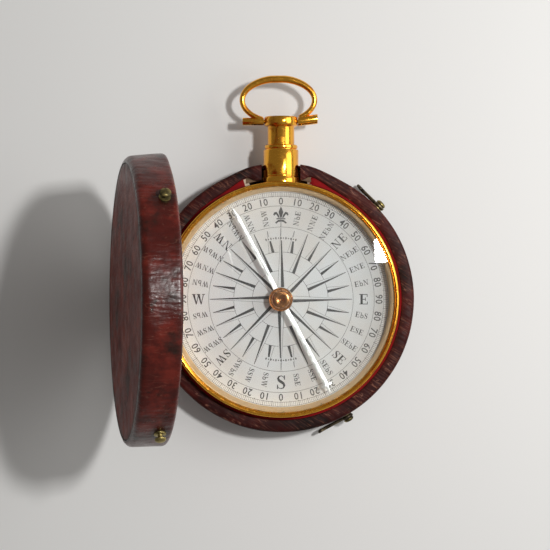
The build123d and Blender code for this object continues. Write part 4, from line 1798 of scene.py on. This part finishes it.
    def ornament(self) -> None:
        """A chain of lozenges and dots across the north and south points."""
        shape = bmesh.new()
        for heading in (0.0, 180.0):
            for place in range(-6, 7):
                long = 0.34 if place % 2 == 0 else 0.16
                wide = 0.17
                at = self.ornament_at
                lozenge = bmesh.new()
                outline = [(0, at - long), (wide, at), (0, at + long), (-wide, at)]
                flat_shape(lozenge, outline, self.face - self.ink, 2 * self.ink)
                turn = self.placed(heading + place * 2.35)
                bmesh.ops.transform(lozenge, matrix=turn, verts=lozenge.verts[:])
                join(shape, [lozenge])
        tidy(shape)
        self.add("dial_ornament", shape, self.finishes.fine_ink)

    def add(self, name: str, shape: bmesh.types.BMesh, material: bpy.types.Material) -> None:
        """Puts one printed piece on the card.

        Args:
            name: the piece's name.
            shape: the printed marks.
            material: its ink.
        """
        Piece(name, shape, [material], Body.COMPASS, Slot.PAPER, sharp=30).add()

    def build(self) -> None:
        """Prints everything."""
        self.rings()
        self.scale()
        self.points()
        self.numbers()
        self.names_between()
        self.capitals()
        self.lily()
        self.ornament()


@dataclass
class CompassNeedle:
    """The needle, its cap and its jewel."""

    finishes: Finishes
    heading: float = 118.0
    plain: float = 22.2
    crossed: float = 22.5
    half: float = 0.475
    thick: float = 0.3
    tip: float = 2.6
    bar_in: float = 1.9
    eye_bore: float = 1.0
    eye_outer: float = 1.9

    def blade(self, length: float, tip: float) -> bmesh.types.BMesh:
        """Half a needle along +X, with a raised middle line.

        Args:
            length: from the middle to the point.
            tip: length of the point.

        Returns:
            The mesh.
        """
        shape = bmesh.new()
        lower = [(0.0, -self.half), (length - tip, -self.half)]
        outline = [*lower, (length, 0.0), *((x, -y) for x, y in reversed(lower))]
        flat_shape(shape, outline, 0, self.thick)
        tidy(shape)
        soften(shape, 0.09, 2, 60, lambda p: p.z > self.thick - 0.01)
        return shape

    def build(self) -> None:
        """Makes the two halves and the cap."""
        low, _ = node_box("needle_bar")
        turn = Matrix.Translation((0, 0, low.z)) @ Matrix.Rotation(math.radians(self.heading), 4, "Z")
        north = self.blade(self.plain, self.tip)
        south = self.blade(self.crossed, self.tip)
        bore, rim = self.eye_bore, self.eye_outer
        eye = lathe([(bore, 0), (rim, 0), (rim, self.thick), (bore, self.thick)], 72)
        bar = bmesh.new()
        bmesh.ops.create_cube(bar, size=1.0)
        bmesh.ops.scale(bar, vec=(0.55, 2.4, self.thick), verts=bar.verts[:])
        bmesh.ops.translate(bar, vec=(self.crossed - self.bar_in, 0, self.thick / 2), verts=bar.verts[:])
        soften(bar, 0.07, 2, 60)
        south = combined(south, bar, "UNION")
        hole, clear = (lathe([(0, -1), (r, -1), (r, 1), (0, 1)], 72, closed=False) for r in (bore, rim))
        south = combined(combined(south, eye, "UNION"), hole, "DIFFERENCE")
        north = combined(north, clear, "DIFFERENCE")
        steel = [self.finishes.steel]
        back = turn @ Matrix.Rotation(math.pi, 4, "Z")
        Piece("needle_plain_half", north, steel, Body.NEEDLE, Slot.STEEL, ("needle_bar",), turn).add()
        Piece("needle_crossed_half", south, steel, Body.NEEDLE, Slot.STEEL, (), back).add()
        self.cap()
        dress("cap_jewel", self.finishes.jewel)

    def cap(self) -> None:
        """The turned cap: a thin disc and a knob with a dimple."""
        low, high = node_box("needle_cap")
        base, top = low.z + self.thick, high.z
        wall_top = top - 0.75
        outline = [
            (0.6, low.z), (self.eye_bore, low.z), (self.eye_bore, base), (2.5, base), (2.5, base + 0.25),
            (2.35, base + 0.4), (2.02, base + 0.42), (1.95, base + 0.5), (1.95, top - 0.42),
            (1.80, top - 0.12), (1.5, top), (0.62, top - 0.04), (0.45, top - 0.12), (0.3, top - 0.34),
            (0.0, top - 0.45), (0.0, wall_top), (0.6, wall_top),
        ]
        shape = lathe(outline, 96)
        inside = [e for e in shape.edges if all(v.co.xy.length < 0.01 for v in e.verts)]
        bmesh.ops.delete(shape, geom=inside, context="EDGES_FACES")
        tidy(shape)
        Piece(
            "turned_cap", shape, [self.finishes.cap], Body.NEEDLE, Slot.CAP, ("needle_cap",), sharp=34
        ).add()


# ---------------------------------------------------------------- pendant and bow
@dataclass
class Pendant:
    """The pendant's tube, and the sliding stem with its collar."""

    finishes: Finishes
    steps: int = 96
    stem_radius: float = 2.85
    bowl_radius: float = 25.03

    def along_y(self, outline: Sequence[Point], centre: float, hollow: bool = False) -> bmesh.types.BMesh:
        """A shape turned about the pendant's axis.

        Args:
            outline: (radius, y) points.
            centre: height of the axis.
            hollow: whether the outline closes on itself.

        Returns:
            The mesh.
        """
        shape = lathe(outline, self.steps, closed=hollow)
        return turned_to(shape, Vector((0, 1, 0)), Vector((0, 0, centre)))

    def build(self) -> None:
        """Makes the pieces."""
        low, high = node_box("pendant_tube")
        centre = (low.z + high.z) / 2
        flange, end = high.x, high.y
        bore, seat, bowl = self.stem_radius + 0.03, 25.3, self.bowl_radius
        outline = [
            (bore, seat), (flange, 24.0), (flange, end - 7.15), (flange - 0.12, end - 6.98),
            (flange - 0.30, end - 6.95), (flange - 0.34, end - 6.80), (flange - 0.25, end - 6.72),
            (flange - 0.22, end - 6.50),
            (flange - 0.27, end - 6.42), (flange - 0.25, end - 6.30), (flange - 0.25, end - 1.22),
            (flange - 0.35, end - 1.08), (flange - 0.72, end - 1.05), (flange - 0.74, end - 0.90),
            (flange - 0.52, end - 0.78), (flange - 0.45, end - 0.48), (flange - 0.52, end - 0.16),
            (flange - 0.75, end), (bore, end),
        ]
        shape = self.along_y(outline, centre, hollow=True)
        tidy(shape)
        saddle = lathe([(0, -5), (bowl, -5), (bowl, 40), (0, 40)], 256, closed=False)
        shape = combined(shape, saddle, "DIFFERENCE")
        Piece(
            "pendant_barrel", shape, [self.finishes.gilt], Body.COMPASS, Slot.GILT, ("pendant_tube",),
            sharp=40,
        ).add()
        self.stem(centre)

    def stem(self, centre: float) -> None:
        """The stem and its collar, drilled for the screw.

        Args:
            centre: height of the pendant's axis.
        """
        low, high = node_box("lock_plunger")
        radius, collar, end, start = self.stem_radius, high.x, high.y, low.y
        foot = end - 2.05
        outline = [
            (0, start), (radius, start), (radius, foot - 0.35), (radius + 0.08, foot - 0.12),
            (radius + 0.4, foot), (collar - 0.12, foot + 0.05), (collar, foot + 0.22), (collar, end - 0.30),
            (collar - 0.16, end - 0.07), (collar - 0.6, end - 0.02), (0, end),
        ]
        shape = self.along_y(outline, centre)
        axis = node_box("bow_nut")
        middle = Vector((0, (axis[0].y + axis[1].y) / 2, centre))
        drill = lathe([(0, -6), (0.4, -6), (0.4, 6), (0, 6)], 32, closed=False)
        turned_to(drill, Vector((1, 0, 0)), middle)
        shape = combined(shape, drill, "DIFFERENCE")
        Piece(
            "pendant_stem", shape, [self.finishes.gilt], Body.PLUNGER, Slot.GILT, ("lock_plunger",), sharp=40
        ).add()
        dress("bow_nut", self.finishes.gilt)
        dress("lock_tongue", self.finishes.steel)


@dataclass
class Bow:
    """The pendant's loop: an oval of tapered wire that runs into two ears."""

    finishes: Finishes
    half_width: float = 7.75
    half_height: float = 4.6
    shift: float = -0.55
    thin: float = 0.58
    stout: float = 0.80
    ear_start: float = 3.65
    ear_radius: float = 0.78
    join_at: float = 4.0
    shank_bore: float = 0.45
    head_bore: float = 0.53
    head_seat: float = 7.2

    def loop(self, axis_y: float, top: float, height: float) -> bmesh.types.BMesh:
        """The oval, open at its foot.

        Args:
            axis_y: where the screw's axis is.
            top: greatest y of the wire's middle line.
            height: height of the axis.

        Returns:
            The mesh.
        """
        middle_y = axis_y + self.half_height - 0.05
        first = -math.pi / 2 + math.asin((self.join_at - self.shift) / self.half_width)
        last = 1.5 * math.pi - math.asin((self.join_at + self.shift) / self.half_width)
        count = 36
        points, radii = [], []
        for i in range(count + 1):
            turn = first + (last - first) * i / count
            x = self.shift + self.half_width * math.cos(turn)
            y = min(middle_y + self.half_height * math.sin(turn), top)
            points.append(Vector((x, y, height)))
            radii.append(self.thin + (self.stout - self.thin) * max(0.0, math.sin(turn)) ** 1.5)
        return wire(points, radii, 7)

    def ear(self, end: float, rise: float, flare: float, sides: int, axis: Vector) -> bmesh.types.BMesh:
        """One ear, from beside the collar outwards.

        Args:
            end: x of its end, negative on the left.
            rise: how far its end is raised.
            flare: its radius at the end.
            sides: how many sides its section has.
            axis: a point on the screw's axis.

        Returns:
            The mesh.
        """
        side = math.copysign(1.0, end)
        start = self.ear_radius + 0.8 * (flare - self.ear_radius)
        outline = [(0, self.ear_start), (start, self.ear_start), (flare, abs(end)), (0, abs(end))]
        ear = lathe(outline, sides, closed=False)
        soften(ear, 0.07, 2, 60, lambda p: p.z > abs(end) - 0.01)
        turned_to(ear, Vector((side, 0, 0)), axis)
        for vert in ear.verts:
            share = (abs(vert.co.x) - self.ear_start) / (abs(end) - self.ear_start)
            vert.co.y += rise * max(0.0, share)
        return ear

    def build(self) -> None:
        """Makes the loop and its ears, bored for the screw."""
        low, high = node_box("bow")
        axis = Vector((0, low.y + 0.7, (low.z + high.z) / 2))
        nut_low, nut_high = node_box("bow_nut")
        head_low, head_high = node_box("bow_screw")
        shape = self.loop(axis.y, high.y - self.stout, axis.z)
        left = self.ear(nut_low.x + 0.02, 0.0, self.ear_radius + 0.04, 48, axis)
        right = self.ear(head_high.x - 0.02, 0.55, 1.05, 12, axis)
        shape = combined(combined(shape, left, "UNION"), right, "UNION")
        reach, seat, drill, head_r = 9.0, self.head_seat, self.shank_bore, self.head_bore
        nut_r = (nut_high.z - nut_low.z) / 2 + 0.03
        outline = [(0, -reach), (nut_r, -reach), (nut_r, nut_high.x), (drill, nut_high.x), (drill, seat)]
        bore = lathe(outline + [(head_r, seat), (head_r, reach), (0, reach)], 48, closed=False)
        turned_to(bore, Vector((1, 0, 0)), axis)
        shape = combined(shape, bore, "DIFFERENCE")
        tidy(shape)
        Piece("pendant_bow", shape, [self.finishes.gilt], Body.BOW, Slot.GILT, ("bow",), sharp=50).add()
        shank, head = drill - 0.06, head_r - 0.03
        outline = [(0, head_low.x), (shank, head_low.x), (shank, seat), (head, seat)]
        outline += [(head, head_high.x - 0.1), (head - 0.1, head_high.x), (0, head_high.x)]
        screw = lathe(outline, 40, closed=False)
        turned_to(screw, Vector((1, 0, 0)), axis)
        Piece("bow_pivot_screw", screw, [self.finishes.gilt], Body.PLUNGER, Slot.GILT, ("bow_screw",)).add()


# ---------------------------------------------------------------- studio
@dataclass
class Studio:
    """The pale floor, the soft lights and the camera over the compass."""

    eye: tuple[float, float, float] = (-1.27, 5.18, 380.5)
    half_view: float = 58.575
    focus: float = 372.0
    dim: Colour = (0.31, 0.297, 0.28)
    bright: Colour = (0.54, 0.535, 0.53)
    strength: float = 0.62

    def floor(self) -> None:
        """A plain pale sheet."""
        shape = bmesh.new()
        bmesh.ops.create_grid(shape, x_segments=4, y_segments=4, size=1.5)
        mesh = bpy.data.meshes.new("floor")
        shape.to_mesh(mesh)
        shape.free()
        paint = bpy.data.materials.new("floor")
        paint.use_nodes = True
        shader = paint.node_tree.nodes["Principled BSDF"]
        shader.inputs["Base Color"].default_value = (0.735, 0.735, 0.728, 1.0)
        shader.inputs["Roughness"].default_value = 0.9
        mesh.materials.append(paint)
        obj = bpy.data.objects.new("floor", mesh)
        bpy.context.scene.collection.objects.link(obj)

    def light(self, name: str, at: Vector, size: Point, power: float, colour: Colour) -> None:
        """A soft panel that faces the compass.

        Args:
            name: its name.
            at: where it stands, metres.
            size: its width and height, metres.
            power: watts.
            colour: its colour.
        """
        data = bpy.data.lights.new(name, "AREA")
        data.shape = "RECTANGLE"
        data.size, data.size_y = size
        data.energy = power
        data.color = colour
        obj = bpy.data.objects.new(name, data)
        back = at.normalized()
        side = Vector((0, 1, 0)).cross(back).normalized()
        turn = Matrix((side, back.cross(side), back)).transposed().to_4x4()
        obj.matrix_world = Matrix.Translation(at) @ turn
        bpy.context.scene.collection.objects.link(obj)

    def room(self) -> None:
        """A soft room, bright to the right and dim to the left."""
        world = bpy.data.worlds.new("studio")
        world.use_nodes = True
        tree = Tree(world.node_tree)
        along = tree.add("ShaderNodeSeparateXYZ")
        tree.feed(along.inputs[0], tree.add("ShaderNodeTexCoord").outputs["Generated"])
        bright = tree.span(along.outputs["X"], -0.35, 0.85)
        colour = tree.mix(bright, self.dim, self.bright)
        background = world.node_tree.nodes["Background"]
        tree.feed(background.inputs["Color"], colour)
        background.inputs["Strength"].default_value = self.strength
        bpy.context.scene.world = world

    def build(self) -> None:
        """Sets up the floor, the lights, the world and the camera."""
        self.floor()
        self.room()
        self.light("window", Vector((0.156, 0.069, 0.365)), (0.023, 0.036), 0.90, (1.0, 0.99, 0.975))
        self.light("fill", Vector((0.20, 0.06, 0.14)), (0.14, 0.20), 0.25, (1.0, 0.985, 0.96))
        data = bpy.data.cameras.new("camera")
        data.angle = 2 * math.atan(self.half_view / self.focus)
        data.clip_start = 0.01
        camera = bpy.data.objects.new("camera", data)
        camera.location = Vector(self.eye) * MM
        bpy.context.scene.collection.objects.link(camera)
        bpy.context.scene.camera = camera
        bpy.context.scene.view_settings.view_transform = "Standard"


def joint(name: str) -> dict:
    """A joint of the frame by its name.

    Args:
        name: the joint's name.

    Returns:
        The joint's row.
    """
    return next(j for j in frame["joints"] if j["name"] == name)


def lid_place(hinge: dict, top: float) -> Matrix:
    """Where the lid's tray goes: turned over onto the base, then opened.

    Args:
        hinge: the lid's joint.
        top: height of the closed lid's outer face.

    Returns:
        The matrix.
    """
    axis, pivot = Vector(hinge["axis"]), Vector(hinge["pos_m"]) / MM
    opening = Matrix.Rotation(math.radians(-hinge["range_deg"][0]), 4, axis)
    over = Matrix.Translation((0, 0, top)) @ Matrix.Diagonal((1, 1, -1, 1))
    return Matrix.Translation(pivot) @ opening @ Matrix.Translation(-pivot) @ over


def main() -> None:
    """Builds the compass and its case in order."""
    logging.basicConfig(level=logging.INFO, format="%(name)s: %(message)s")
    finishes = Finishes()
    hinge = joint("lid_hinge")
    base_height = node_box("base_side_leather")[1].z
    lid_height, rim_gap = 7.62, 0.1
    pendant_z = sum(corner.z for corner in node_box("lock_plunger")) / 2
    lid_top = base_height + rim_gap + lid_height
    pin_z = joint("hook_upper_swing")["pos_m"][2] / MM
    CaseHalf(
        "base", Body.BASE, base_height, 0.9, pendant_z, pin_z, finishes.rim, finishes.rim, finishes,
        Matrix.Identity(4),
    ).build()
    stud_z = lid_top - pin_z - WireHook.reach
    CaseHalf(
        "lid", Body.LID, lid_height, 1.2, lid_top - pendant_z, stud_z, finishes.lid, finishes.lid_face,
        finishes, lid_place(hinge, lid_top), edge_round=1.25,
    ).build()
    HingeStrap(finishes, Vector(hinge["pos_m"]) / MM, -hinge["range_deg"][0]).build()
    for name, body, angle, side, fall in (
        ("hook_upper", Body.HOOK_UPPER, 43.5, 1, 120.0), ("hook_lower", Body.HOOK_LOWER, -60.5, -1, 105.0),
    ):
        pin = Vector(joint(f"{name}_swing")["pos_m"]) / MM
        WireHook(name, body, pin, angle, side, fall, finishes).build()
    GlazedTop(finishes).build()
    DialPrint(finishes, node_box("dial_card")[1].z).build()
    CompassNeedle(finishes).build()
    Pendant(finishes).build()
    Bow(finishes).build()
    for node in ("pivot_post", "lever_bracket", "lift_ring", "lock_lever"):
        dress(node, finishes.plain)
    for node in ("pivot_point", "lever_pin", "bracket_screw_left", "bracket_screw_right"):
        dress(node, finishes.steel)
    Studio().build()


if __name__ == "__main__":
    main()
